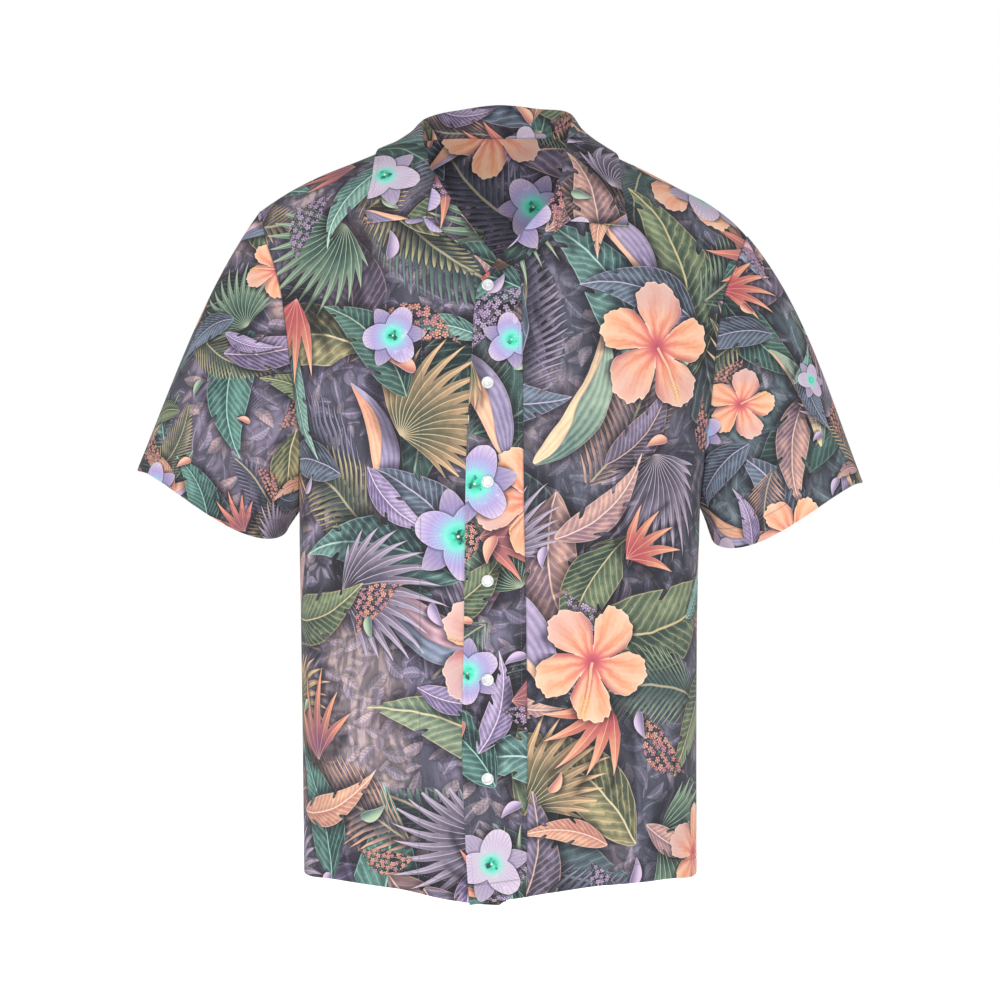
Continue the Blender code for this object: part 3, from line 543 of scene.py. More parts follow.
def side_columns(parts):
    """Column numbers for parts [(first, last, length)], finer next to the panel's two ends."""
    runs = [np.linspace(a, b, max(2, int(round(w / STEP))) + 1) for a, b, w in parts]
    k = np.unique(np.concatenate(runs))
    first, last = k[1] - k[0], k[-1] - k[-2]
    near = np.array([0.09, 0.22, 0.45])
    return np.unique(np.r_[k, k[0] + near * first, k[-1] - near * last])


# ---------------------------------------------------------------- lengths and flat cuts


def runs(p, axis, ring=False):
    """Length along a grid's rows or columns from its first line."""
    step = np.linalg.norm(np.diff(p, axis=axis), axis=-1)
    zero = np.zeros_like(np.take(step, [0], axis=axis))
    return np.concatenate([zero, np.cumsum(step, axis=axis)], axis=axis)


def ease(a, b, x):
    t = np.clip((x - a) / (b - a), 0, 1)
    return t * t * (3 - 2 * t)


def eased(net, flat, turns):
    """Moves a net's points in the plane until its threads and diagonals keep their lengths."""
    h, w = net.shape[:2]
    index = np.arange(h * w).reshape(h, w)
    near = [
        (index[:, :-1], index[:, 1:]),
        (index[:-1], index[1:]),
        (index[:-1, :-1], index[1:, 1:]),
        (index[:-1, 1:], index[1:, :-1]),
        # every second point as well, which keeps the threads straight
        (index[:, :-2], index[:, 2:]),
        (index[:-2], index[2:]),
    ]
    pairs = np.concatenate([np.stack([a.ravel(), b.ravel()], 1) for a, b in near])
    flat3 = net.reshape(-1, 3)
    rest = np.linalg.norm(flat3[pairs[:, 0]] - flat3[pairs[:, 1]], axis=1)
    share = np.bincount(pairs.ravel(), minlength=h * w)[:, None]
    flat = np.asarray(flat, float).reshape(-1, 2)
    for turn in range(turns):
        d = flat[pairs[:, 1]] - flat[pairs[:, 0]]
        length = np.maximum(np.linalg.norm(d, axis=1), 1e-9)
        pull = d * ((length - rest) / length * 0.5)[:, None]
        move = np.stack(
            [
                np.bincount(pairs[:, 0], pull[:, a], h * w) - np.bincount(pairs[:, 1], pull[:, a], h * w)
                for a in range(2)
            ],
            1,
        )
        flat = flat + move / share * 1.6
    return flat.reshape(h, w, 2)


def flatten(p, k, r, origin):
    """The flat cut of a grid: a coarse net of its points relaxed in the plane until its threads
    keep their lengths, read back at every point and eased once more at full density. origin
    gives the way across and up."""
    rows = np.unique(np.round(np.linspace(0, p.shape[0] - 1, 26)).astype(int))
    cols = np.unique(np.round(np.linspace(0, p.shape[1] - 1, 18)).astype(int))
    net = p[np.ix_(rows, cols)]
    flat = eased(net, origin(net), 2600)
    # read back in the numbering of the grid's own lines
    kk, rr = k[cols], r[rows]
    across = np.stack(
        [np.stack([np.interp(k, kk, row[:, a]) for row in flat]) for a in range(2)], -1
    )
    flat = np.stack(
        [
            np.stack([np.interp(r, rr, across[:, c, a]) for c in range(len(k))], 1)
            for a in range(2)
        ],
        -1,
    )
    return eased(p, flat, 160)


# ---------------------------------------------------------------- folds


def fold_height(flat, folds):
    """Height of the listed creases: each is a bent line with its own width and depth, which
    fades out towards both of its ends."""
    total = np.zeros(flat.shape[:2])
    for x0, y0, x1, y1, bend, width, depth in folds:
        a, b = np.array([x0, y0]), np.array([x1, y1])
        way = b - a
        length = np.linalg.norm(way)
        way = way / length
        side = np.array([-way[1], way[0]])
        d = flat - a
        s = d @ way / length
        off = d @ side - bend * 4 * s * (1 - s)
        fade = np.clip(s * (1 - s) * 4, 0, 1) ** 0.8
        # a ridge with a shallower trough beside it
        shape = np.exp(-((off / width) ** 2)) - 0.45 * np.exp(-(((off - 1.9 * width) / (1.3 * width)) ** 2))
        total += depth * fade * shape
    return total


# ---------------------------------------------------------------- shells


class Shell:
    """A cloth shell on a grid. k and r number its columns and rows, ring joins its ends."""

    def __init__(self, name, p, n, k, r, ring=False):
        self.name, self.p, self.n, self.k, self.r, self.ring = name, p, n, k, r, ring
        self.out = np.full(p.shape[:2], CLOTH / 2)
        self.inn = np.full(p.shape[:2], CLOTH / 2)
        closed = np.concatenate([p, p[:, :1]], 1) if ring else p
        across, up = runs(closed, 1), runs(p, 0)
        self.first = across[:, : p.shape[1]]
        self.last = across[:, -1:] - self.first
        self.bottom, self.top = up, up[-1:] - up
        self.flat = None

    def seam(self, *sides, depth=0.00040, width=0.0011):
        """Dips the outside next to a sewn edge."""
        for side in sides:
            self.out -= depth * np.exp(-((getattr(self, side) / width) ** 2))

    def edge(self, *sides, thick=0.0015, reach=None, inside=True):
        """Rounds a free edge of doubled cloth. The doubling lies inside as far as reach."""
        for side in sides:
            d = getattr(self, side)
            if reach and inside:
                self.inn += (thick - CLOTH) * (1 - ease(reach - 0.0008, reach + 0.0008, d))
            if reach:
                # the row of stitches draws the cloth in a little
                self.out -= 0.00013 * np.exp(-(((d - reach + 0.0012) / 0.0009) ** 2))
            r = thick * 0.55
            turn = np.sqrt(np.clip(1 - (1 - np.clip(d / r, 0, 1)) ** 2, 0, 1))
            self.out, self.inn = self.out * turn, self.inn * turn - (1 - turn) * 0.00001

    def groove(self, distance, width=0.0006, depth=0.00022):
        self.out -= depth * np.exp(-((distance / width) ** 2))

    def crease(self, folds, sides=("first", "last", "bottom", "top"), reach=0.022):
        height = fold_height(self.flat, folds)
        for side in sides:
            height *= ease(0.001, reach, getattr(self, side))
        self.p = self.p + self.n * height[..., None]

    def at(self, side, distance):
        """The line of outer points at a distance from an edge, with its normals."""
        d = getattr(self, side)
        skin = self.p + self.n * self.out[..., None]
        spots, ways = [], []
        lines = range(self.p.shape[1]) if side in ("bottom", "top") else range(self.p.shape[0])
        for i in lines:
            if side in ("bottom", "top"):
                dist, sp, sn = d[:, i], skin[:, i], self.n[:, i]
            else:
                dist, sp, sn = d[i], skin[i], self.n[i]
            order = np.argsort(dist)
            spots.append([np.interp(distance, dist[order], sp[order, a]) for a in range(3)])
            ways.append([np.interp(distance, dist[order], sn[order, a]) for a in range(3)])
        return np.array(spots), unit(np.array(ways))

    def build(self, material, layers=(), slot=None):
        p, n = self.p, self.n
        rows, cols = p.shape[:2]
        size = rows * cols
        co = np.concatenate(
            [(p + n * self.out[..., None]).reshape(-1, 3), (p - n * self.inn[..., None]).reshape(-1, 3)]
        )
        span = cols if self.ring else cols - 1
        c = np.arange(span)
        c1 = (c + 1) % cols
        r = np.arange(rows - 1)[:, None]
        a, b = r * cols + c, r * cols + c1
        d, e = (r + 1) * cols + c1, (r + 1) * cols + c
        outer = np.stack([a, b, d, e], -1).reshape(-1, 4)
        inner = outer[:, ::-1] + size
        low, low1 = c, c1
        top, top1 = (rows - 1) * cols + c, (rows - 1) * cols + c1
        rims = [
            np.stack([low1, low, low + size, low1 + size], -1),
            np.stack([top, top1, top1 + size, top + size], -1),
        ]
        if not self.ring:
            rr = np.arange(rows - 1)
            f0, f1 = rr * cols, (rr + 1) * cols
            l0, l1 = f0 + cols - 1, f1 + cols - 1
            rims += [
                np.stack([f0, f1, f1 + size, f0 + size], -1),
                np.stack([l1, l0, l0 + size, l1 + size], -1),
            ]
        flip = np.sum(
            np.cross(co[outer[:, 1]] - co[outer[:, 0]], co[outer[:, 3]] - co[outer[:, 0]])
            * n.reshape(-1, 3)[outer[:, 0]]
        )
        faces = np.concatenate([outer, inner, *rims])
        if flip < 0:
            faces = faces[:, ::-1]
        mesh = bpy.data.meshes.new(self.name)
        mesh.vertices.add(len(co))
        mesh.vertices.foreach_set("co", co.ravel())
        mesh.loops.add(faces.size)
        mesh.loops.foreach_set("vertex_index", np.ascontiguousarray(faces).ravel())
        mesh.polygons.add(len(faces))
        mesh.polygons.foreach_set("loop_start", np.arange(0, faces.size, 4))
        mesh.update(calc_edges=True)
        mesh.validate()
        mesh.shade_smooth()
        if self.flat is not None:
            # two copies of the cut side by side: the outside and the inside
            flat = self.flat.reshape(-1, 2)
            lo, hi = flat.min(0), flat.max(0)
            wide, high = hi - lo + 0.006
            scale = 0.985 / max(2 * wide, high)
            place = (flat - lo + 0.003) * scale
            both = np.concatenate([place, place + [wide * scale, 0]])
            loops = np.ascontiguousarray(faces).ravel()
            uv = both[loops].reshape(-1, 4, 2)
            # the rims take a thin strip next to the outside's own edge
            start = len(outer) + len(inner)
            rim = faces[start:]
            far = rim >= size
            base = both[rim % size]
            away = np.zeros_like(base)
            counts = [len(x) for x in rims]
            ways = [(0, -1), (0, 1), (-1, 0), (1, 0)]
            at = 0
            for count, way in zip(counts, ways, strict=False):
                away[at : at + count] = way
                at += count
            uv[start:] = base + away * (far[..., None] * 0.0012 * scale)
            layer = mesh.uv_layers.new(name="OFBake")
            layer.uv.foreach_set("vector", np.clip(uv, 0, 1).astype(np.float32).ravel())
            whole = np.zeros((len(co), 3), np.float32)
            whole[:, :2] = np.concatenate([flat, flat])
            mesh.attributes.new("cut", "FLOAT_VECTOR", "POINT").data.foreach_set(
                "vector", whole.ravel()
            )
            for name, values in layers:
                full = np.concatenate([values, values]).astype(np.float32)
                mesh.attributes.new(name, "FLOAT_COLOR", "POINT").data.foreach_set(
                    "color", full.ravel()
                )
        mesh.materials.append(material)
        obj = bpy.data.objects.new(self.name, mesh)
        bpy.context.scene.collection.objects.link(obj)
        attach(obj, "root")
        return obj

# ================================================================ writing shader formulas


def srgb(code):
    """Linear colour of a screen colour such as 7D7488."""
    values = [int(code[i : i + 2], 16) / 255 for i in (0, 2, 4)]
    return tuple(v / 12.92 if v <= 0.04045 else ((v + 0.055) / 1.055) ** 2.4 for v in values) + (1,)


class Wire:
    """A node's output that arithmetic can be written with."""

    def __init__(self, tree, socket):
        self.tree, self.socket = tree, socket

    def __add__(self, other):
        return self.tree.math("ADD", self, other)

    __radd__ = __add__

    def __sub__(self, other):
        return self.tree.math("SUBTRACT", self, other)

    def __rsub__(self, other):
        return self.tree.math("SUBTRACT", other, self)

    def __mul__(self, other):
        return self.tree.math("MULTIPLY", self, other)

    __rmul__ = __mul__

    def __truediv__(self, other):
        return self.tree.math("DIVIDE", self, other)

    def __rtruediv__(self, other):
        return self.tree.math("DIVIDE", other, self)

    def __abs__(self):
        return self.tree.math("ABSOLUTE", self)

    def __pow__(self, other):
        return self.tree.math("POWER", self, other)


class Tree:
    """Adds nodes to a node tree in the order they are needed."""

    def __init__(self, tree):
        self.tree, self.count = tree, 0

    def node(self, kind, **settings):
        n = self.tree.nodes.new(kind)
        n.location = (self.count % 24 * 170, -(self.count // 24) * 260)
        n.hide = True
        self.count += 1
        for key, value in settings.items():
            setattr(n, key, value)
        return n

    def put(self, socket, value):
        if isinstance(value, Wire):
            self.tree.links.new(value.socket, socket)
        elif value is not None:
            socket.default_value = value

    def math(self, kind, *values):
        n = self.node("ShaderNodeMath", operation=kind)
        for socket, value in zip(n.inputs, values, strict=False):
            self.put(socket, value)
        return Wire(self, n.outputs[0])

    def sin(self, x):
        return self.math("SINE", x)

    def cos(self, x):
        return self.math("COSINE", x)

    def low(self, a, b):
        return self.math("MINIMUM", a, b)

    def high(self, a, b):
        return self.math("MAXIMUM", a, b)

    def clamp(self, x):
        n = self.node("ShaderNodeClamp")
        self.put(n.inputs[0], x)
        return Wire(self, n.outputs[0])

    def mad(self, a, b, c):
        return self.math("MULTIPLY_ADD", a, b, c)

    def step(self, a, b, x, out=(0.0, 1.0)):
        """Smooth step from a to b."""
        # a smooth step stays in range by itself; the node's own clamp would be worked out late
        n = self.node("ShaderNodeMapRange", interpolation_type="SMOOTHSTEP", clamp=False)
        self.put(n.inputs["Value"], x)
        self.put(n.inputs["From Min"], a)
        self.put(n.inputs["From Max"], b)
        self.put(n.inputs["To Min"], out[0])
        self.put(n.inputs["To Max"], out[1])
        return Wire(self, n.outputs["Result"])

    def mix(self, share, a, b, blend="MIX"):
        """Colours a and b mixed."""
        n = self.node("ShaderNodeMix", data_type="RGBA", blend_type=blend, clamp_factor=True)
        self.put(n.inputs[0], share)
        self.put(n.inputs[6], srgb(a) if isinstance(a, str) else a)
        self.put(n.inputs[7], srgb(b) if isinstance(b, str) else b)
        return Wire(self, n.outputs[2])

    def ramp(self, x, *stops, kind="LINEAR"):
        """Colour by value: stops are (place, colour)."""
        n = self.node("ShaderNodeValToRGB")
        n.color_ramp.interpolation = kind
        points = n.color_ramp.elements
        points.remove(points[1])
        points[0].position, points[0].color = stops[0][0], srgb(stops[0][1])
        for place, colour in stops[1:]:
            points.new(place).color = srgb(colour)
        self.put(n.inputs[0], x)
        return Wire(self, n.outputs[0])

    def join(self, x, y, z=0.0):
        n = self.node("ShaderNodeCombineXYZ")
        for socket, value in zip(n.inputs, (x, y, z), strict=True):
            self.put(socket, value)
        return Wire(self, n.outputs[0])

    def parts(self, vector):
        # a colour is split as a colour, since a conversion would be worked out last of all and
        # every layer's values would pile up before it
        colour = vector.socket.type == "RGBA"
        n = self.node("ShaderNodeSeparateColor" if colour else "ShaderNodeSeparateXYZ")
        self.put(n.inputs[0], vector)
        return tuple(Wire(self, out) for out in n.outputs)

    def read(self, name):
        n = self.node("ShaderNodeAttribute", attribute_name=name, attribute_type="GEOMETRY")
        return Wire(self, n.outputs["Vector"]), Wire(self, n.outputs["Alpha"])

    def noise(self, place, scale, detail=2.0, rough=0.5, colour=False, stretch=None):
        if stretch:
            n = self.node("ShaderNodeVectorMath", operation="MULTIPLY")
            self.put(n.inputs[0], place)
            n.inputs[1].default_value = stretch
            place = Wire(self, n.outputs[0])
        n = self.node("ShaderNodeTexNoise", noise_dimensions="2D")
        self.put(n.inputs["Vector"], place)
        n.inputs["Scale"].default_value = scale
        n.inputs["Detail"].default_value = detail
        n.inputs["Roughness"].default_value = rough
        return Wire(self, n.outputs["Color" if colour else 0])

    def cells(self, place, scale, jitter=0.7):
        n = self.node("ShaderNodeTexVoronoi", voronoi_dimensions="2D", feature="F1")
        self.put(n.inputs["Vector"], place)
        n.inputs["Scale"].default_value = scale
        n.inputs["Randomness"].default_value = jitter
        return (Wire(self, n.outputs[o]) for o in ("Distance", "Color", "Position"))


# ================================================================ the print
# Motif layers from the back to the front. Each motif lies in a round place of its own; x runs
# along it from -1 to 1. Every place holds (x, y, distance from its middle, a number of its own).


def painted(t, paint, mask, over, shade=None, soft=None):
    """Lays a motif on the print so far, with a soft dark shadow round it."""
    if shade is not None:
        paint = t.mix(soft * t.fade, paint, shade, "MULTIPLY")
    return t.mix(mask, paint, over)


def motif(t, name, warp, strength=0.07):
    place, own = t.read(name)
    x, y, r = t.parts(place)
    wx, wy, _ = warp
    x, y = t.mad(wx, strength, x), t.mad(wy, strength, y)
    live = t.math("LESS_THAN", r, 1.0)
    t.fade = t.step(1.0, 0.80, r)
    return x, y, own, live


def pick(t, own, *colours):
    """One of several colours by a motif's own number."""
    stops = [(i / len(colours), c) for i, c in enumerate(colours)]
    return t.ramp(own, *stops, kind="CONSTANT")


DEEP = "3A3B47"


def fern(t, paint, warp, grain, name="m_fern", gilt=False):
    """Palm frond: leaflets in pairs that sweep forward from a bent stem."""
    x, y, own, live = motif(t, name, warp, 0.05)
    y = t.mad(x * x, -0.30, y) + 0.08
    side = abs(y)
    wide = t.high(1.0 - x * x, 0.0) ** 0.7 * (x * -0.14 + 0.42)
    share = t.clamp(side / t.high(wide, 0.02))
    q = t.mad(side, -0.95, x) * 12.5
    f = t.math("FRACT", q) - 0.5
    d = (1.0 - share) ** 0.6 * 0.92 - abs(f) * 2.0
    body_ = t.step(0.0, 0.09, d) * live
    rachis = (1.0 - t.step(0.008, 0.017, side)) * t.step(0.98, 0.9, abs(x)) * live
    if gilt:
        base = pick(t, own, "3B4F45", "5A5560", "33504A", "5E5A4C")
        tip = pick(t, own, "C2B58A", "E3B295", "93A88C", "D9BC8E")
    else:
        base = pick(t, own, "2C3F41", "3F4551", "2A4A45", "4A4858")
        tip = pick(t, own, "6F8A7C", "8C87A0", "7C9A8C", "A99BB4")
    colour = t.mix(t.step(0.05, 1.0, share + (grain - 0.5) * 0.7), base, tip)
    colour = t.mix(t.step(-0.02, 0.28, f) * 0.55, colour, DEEP)
    colour = t.mix(t.step(-0.16, -0.34, f) * 0.30, colour, tip)
    colour = t.mix(rachis * 0.85, colour, "B9AD8E")
    soft = t.step(-0.7, 0.1, d) * live * 0.75 * t.step(1.0, 0.85, share)
    return painted(t, paint, t.high(body_, rachis), colour, srgb("585765"), soft)


def leaf(t, paint, warp, grain, name="m_leaf", set_=0):
    """Broad leaf with a pale midrib, ribbed halves and a lit rim."""
    x, y, own, live = motif(t, name, warp, 0.05)
    x2 = x * x
    y = t.mad(x2, -0.26, y) + 0.08
    side = abs(y)
    wide = t.high(1.0 - x2, 0.0) ** 0.85 * (x * -0.17 + (0.36, 0.31, 0.24, 0.44)[set_])
    share = t.clamp(side / t.high(wide, 0.02))
    q = t.mad(side, -1.2, x)
    # splits between the ribs
    split = t.step(0.86, 1.0, t.sin(q * 9.0 + own * 20.0)) * 0.13 * t.step(0.25, 0.8, share)
    d = wide - side - split
    mask = t.step(0.0, 0.010, d) * live
    vein = t.sin(t.mad(q, 52.0, grain * 5.0)) * 0.5 + 0.5
    upper = t.step(-0.012, 0.012, y)
    if set_ == 3:
        dark = pick(t, own, "2A3138", "3A3447", "223736", "41394A")
        pale = pick(t, own, "5C6F76", "7A7092", "54756C", "8C7F96")
        rim = pick(t, own, "8FA39C", "A99CBE", "86A595", "BFA0A4")
    elif set_ == 0:
        dark = pick(t, own, "1F3A3A", "2E3A44", "2B4238", "3A3A48", "27403F")
        pale = pick(t, own, "5E8478", "7F8FA0", "8E9C78", "9C8FAE", "6E9C90")
        rim = pick(t, own, "A9C0A6", "C8BEDA", "D9C796", "E3B8A6", "9FD6C4")
    elif set_ == 1:
        dark = pick(t, own, "33514A", "54496A", "2A4A4E", "6A5668", "48523E")
        pale = pick(t, own, "A3B191", "B9A8CC", "7FA89E", "E0AF9C", "C9B988")
        rim = pick(t, own, "E3D3A8", "EBCFD6", "BFE0D2", "F5CFB0", "EBDAB0")
    else:
        dark = pick(t, own, "6A5C84", "8C6A78", "3E6660", "B07468")
        pale = pick(t, own, "C9B6D8", "EBBBA4", "9CC7B8", "F3C2A0")
        rim = pick(t, own, "F0DCE4", "F7DCC4", "D9EEDF", "FAE0C6")
    gloss = (1.0 - t.step(0.10, 0.34, abs(share - 0.52))) * t.step(0.38, 0.62, grain)
    tone = upper * 0.30 + t.step(-0.7, 0.9, x + (grain - 0.5) * 0.8) * 0.34 + vein * 0.16 + gloss * 0.34
    colour = t.mix(t.clamp(tone - 0.10), dark, pale)
    colour = t.mix(t.step(0.90, 1.0, vein) * 0.34, colour, rim)
    colour = t.mix(t.step(0.12, 0.0, vein) * 0.30, colour, dark)
    colour = t.mix((1.0 - t.step(0.02, 0.09, side)) * 0.35, colour, dark)
    colour = t.mix((1.0 - t.step(0.005, 0.014, side)) * 0.85, colour, rim)
    colour = t.mix((1.0 - t.step(0.002, 0.020, d)) * 0.75, colour, rim)
    soft = t.step(-0.24, 0.02, d) * live * 0.85
    return painted(t, paint, mask, colour, srgb("565562"), soft)


def strap(t, paint, warp, grain):
    """Long strap leaf that arches over and shows its paler back along one edge."""
    x, y, own, live = motif(t, "m_strap", warp, 0.05)
    x2 = x * x
    y = t.mad(x2, -0.30, y) + 0.13
    wide = t.high(1.0 - x2, 0.0) ** 0.72 * (x * -0.07 + 0.23)
    d = wide - abs(y)
    mask = t.step(0.0, 0.008, d) * live
    share = y / t.high(wide, 0.02)
    turn = t.step(0.18, 0.26, share + t.sin(x * 3.0 + own * 9.0) * 0.42)
    face = pick(t, own, "7C7392", "4E6A66", "857A9A", "5A6478")
    lit = pick(t, own, "BDB0CE", "A8BBA4", "CBB6D4", "A3AEC4")
    back_ = pick(t, own, "D98F76", "C9A58A", "E3A286", "C98FA0")
    back_lit = pick(t, own, "F6C8A6", "EBD8B0", "F5CDB0", "EBC2CC")
    line = t.sin(share * 17.0 + grain * 4.0) * 0.5 + 0.5
    colour = t.mix(t.clamp(line * 0.45 + t.step(-0.8, 0.6, x) * 0.5 + (grain - 0.5)), face, lit)
    other = t.mix(t.clamp(line * 0.4 + t.step(0.9, -0.4, x) * 0.55 + (grain - 0.5)), back_, back_lit)
    colour = t.mix(turn, colour, other)
    colour = t.mix((1.0 - t.step(0.0, 0.12, abs(share - 0.22 + t.sin(x * 3.0 + own * 9.0) * 0.42))) * 0.4, colour, "4E4658")
    colour = t.mix((1.0 - t.step(0.002, 0.012, d)) * 0.6, colour, "F2DCD0")
    soft = t.step(-0.20, 0.01, d) * live * 0.85
    return painted(t, paint, mask, colour, srgb("565562"), soft)


def blades(t, paint, warp, grain, name="m_blade", spiky=False):
    """Pointed blades that spread from a stem like a fan, or a few bright bracts."""
    x, y, own, live = motif(t, name, warp, 0.04)
    x = x + 0.72
    pitch = 0.37 if spiky else 0.165
    r = t.math("SQRT", x * x + y * y)
    turn = t.math("ARCTAN2", y, x) + r * (0.16 if spiky else 0.24)
    near = t.math("ROUND", turn / pitch)
    off = turn - near * pitch
    # each blade has its own length
    hash_ = t.math("FRACT", t.sin(near * 12.99 + own * 31.0) * 43.7)
    reach = t.cos(turn * 0.85) * 1.25 + hash_ * 0.26 + 0.10
    share = t.clamp(r / t.high(reach, 0.1))
    wide = t.sin(t.clamp(share) ** 0.62 * 3.1416) * (0.115 if spiky else 0.075)
    d = wide - abs(off) * r
    limit = 0.93 if spiky else 1.32
    mask = t.step(0.0, 0.010, d) * live * t.math("LESS_THAN", abs(turn), limit)
    if spiky:
        base = pick(t, own, "7E4A62", "B04F52", "8E5560")
        tip = pick(t, own, "F09A74", "F2B088", "EB8C78")
        rim = pick(t, own, "FAD9B4", "FAD3C0", "F5C8A0")
    else:
        base = pick(t, own, "24443F", "4A5240", "3E3C4C")
        tip = pick(t, own, "8FA88E", "E0B48A", "B3A4BC")
        rim = pick(t, own, "CBD6B4", "F0D6AC", "E0D0DA")
    colour = t.mix(t.step(0.15, 0.95, share + grain * 0.4 - 0.2), base, tip)
    colour = t.mix(t.step(0.0, 0.015, off) * 0.45, colour, base)
    colour = t.mix((1.0 - t.step(0.002, 0.007, abs(off) * r)) * 0.6, colour, rim)
    colour = t.mix((1.0 - t.step(0.002, 0.014, d)) * 0.55, colour, rim)
    soft = t.step(-0.15, 0.02, d) * live * 0.8
    return painted(t, paint, mask, colour, srgb("565562"), soft)


def sprig(t, paint, warp, grain):
    """Clusters of tiny blossoms along a bent stem."""
    x, y, own, live = motif(t, "m_sprig", warp, 0.04)
    bend = t.mad(x * x, 0.34, y) - 0.12
    envelope = t.high(0.86 - x * x, 0.0) * 0.42 * t.step(0.9, 0.2, x, (0.55, 1.0))
    place = t.join(x, y + own * 7.0)
    distance, hue, middle = t.cells(place, 6.2, 0.55)
    n = t.node("ShaderNodeVectorMath", operation="SUBTRACT")
    t.put(n.inputs[0], place)
    t.put(n.inputs[1], middle)
    u, v, _ = t.parts(Wire(t, n.outputs[0]))
    red, green, _ = t.parts(hue)
    turn = t.math("ARCTAN2", v, u) + red * 6.0
    r = t.math("SQRT", u * u + v * v) * 6.2
    petals = t.mad(abs(t.cos(turn * 2.5)), 0.24, 0.20) + green * 0.08
    d = petals - r
    inside = t.step(-0.03, 0.03, envelope - abs(bend))
    mask = t.step(0.0, 0.07, d) * inside * live
    warm = t.math("GREATER_THAN", own, 0.5)
    colour = t.mix(green, t.mix(warm, "9A82B4", "D98270"), t.mix(warm, "CDB6DA", "EFB090"))
    colour = t.mix(t.step(0.55, 0.75, red), colour, t.mix(warm, "B49AC6", "C58090"))
    colour = t.mix(t.step(0.42, 0.10, r) * 0.8, colour, t.mix(warm, "5E4E78", "7E4656"))
    colour = t.mix((1.0 - t.step(0.0, 0.12, d)) * 0.5, colour, "F0D6D0")
    colour = t.mix((1.0 - t.step(0.05, 0.10, r)), colour, "F2DE9A")
    soft = inside * live * 0.8 * t.step(-0.6, -0.05, d)
    stem = (1.0 - t.step(0.012, 0.024, abs(bend))) * live * t.step(0.95, 0.85, abs(x))
    paint = t.mix(stem * 0.8, paint, "8F9277")
    return painted(t, paint, mask, colour, srgb("565260"), soft)


def blossom(t, paint, warp, grain):
    """Large open blossom: five ruffled petals that overlap, a rosy throat and a long pistil."""
    x, y, own, live = motif(t, "m_blossom", warp, 0.10)
    r = t.math("SQRT", x * x + y * y)
    polar = t.math("ARCTAN2", y, x)
    turn = polar + r * -0.34 + own * 3.0
    a = t.math("FRACT", turn * (5 / 6.28319) + 0.5) - 0.5
    number = t.math("FLOORED_MODULO", t.math("FLOOR", turn * (5 / 6.28319) + 0.5), 5.0)
    hash_ = t.math("FRACT", t.sin(number * 7.31 + own * 40.0) * 19.7)
    lobe = t.cos(a * 3.0 + 0.16) ** 0.5
    ruffle = t.sin(a * 26.0 + hash_ * 9.0) * 0.016 + t.sin(a * 57.0 + grain * 9.0) * 0.010
    reach = t.mad(lobe, 0.60, 0.27) + hash_ * 0.07 + (grain - 0.5) * 0.10 + ruffle
    d = reach - r
    mask = t.step(0.0, 0.010, d) * live
    warm = t.ramp(r, (0.0, "A8485C"), (0.10, "C85E66"), (0.24, "E2806A"), (0.46, "EB9E76"), (0.74, "F0AE86"), (0.95, "F2C4A4"))
    rosy = t.ramp(r, (0.0, "9A3F5C"), (0.12, "C45A6E"), (0.30, "DC8078"), (0.55, "E69C88"), (0.78, "E8B4A2"), (0.95, "F0CDC0"))
    colour = t.mix(t.math("GREATER_THAN", own, 0.66), warm, rosy)
    # ribs run out from the throat, and some petals turn to lilac in the shade
    rib = t.sin(t.mad(a, 64.0, grain * 8.0 + r * 3.0)) * 0.5 + 0.5
    out_ = t.step(0.08, 0.30, r)
    colour = t.mix(rib * 0.30 * out_ * t.step(1.0, 0.5, r), colour, "C96A5C")
    wave = t.sin(a * 17.0 + r * 6.0 + grain * 6.0 + hash_ * 4.0) * 0.5 + 0.5
    colour = t.mix(wave * 0.42 * out_, colour, "F8DCC0")
    shade_ = t.step(0.35, 0.95, hash_) * t.step(0.30, 0.75, r) * 0.55
    colour = t.mix(shade_, colour, "BC9AA8")
    # the near edge of each petal lies over the next one, whose far edge is in its shadow
    colour = t.mix(t.step(-0.30, -0.50, a) * 0.75 * t.step(0.12, 0.4, r), colour, "A8525A")
    colour = t.mix(t.step(0.40, 0.485, a) * 0.7 * out_, colour, "FBE6D2")
    colour = t.mix((1.0 - t.step(0.002, 0.030, d)) * 0.75, colour, "F8DFC8")
    # pistil
    px, py = t.cos(own * 25.0), t.sin(own * 25.0)
    along = x * px + y * py
    aside = abs(y * px - x * py + along * along * 0.10)
    stalk = t.step(0.026, 0.012, aside) * t.step(0.0, 0.02, along) * t.step(0.86, 0.84, along)
    colour = t.mix(t.step(0.075, 0.02, aside) * t.step(0.0, 0.1, along) * t.step(0.9, 0.7, along) * 0.45, colour, "9A4A58")
    colour = t.mix(stalk, colour, "F3B890")
    dots = t.math("GREATER_THAN", t.sin(along * 105.0) * t.sin(aside * 150.0 + 0.6), 0.45)
    dust = dots * t.step(0.085, 0.07, aside) * t.step(0.52, 0.56, along) * t.step(0.88, 0.85, along)
    colour = t.mix(dust, colour, "E9C46E")
    soft = t.step(-0.24, 0.02, d) * live * 0.9
    return painted(t, paint, mask, colour, srgb("535260"), soft)


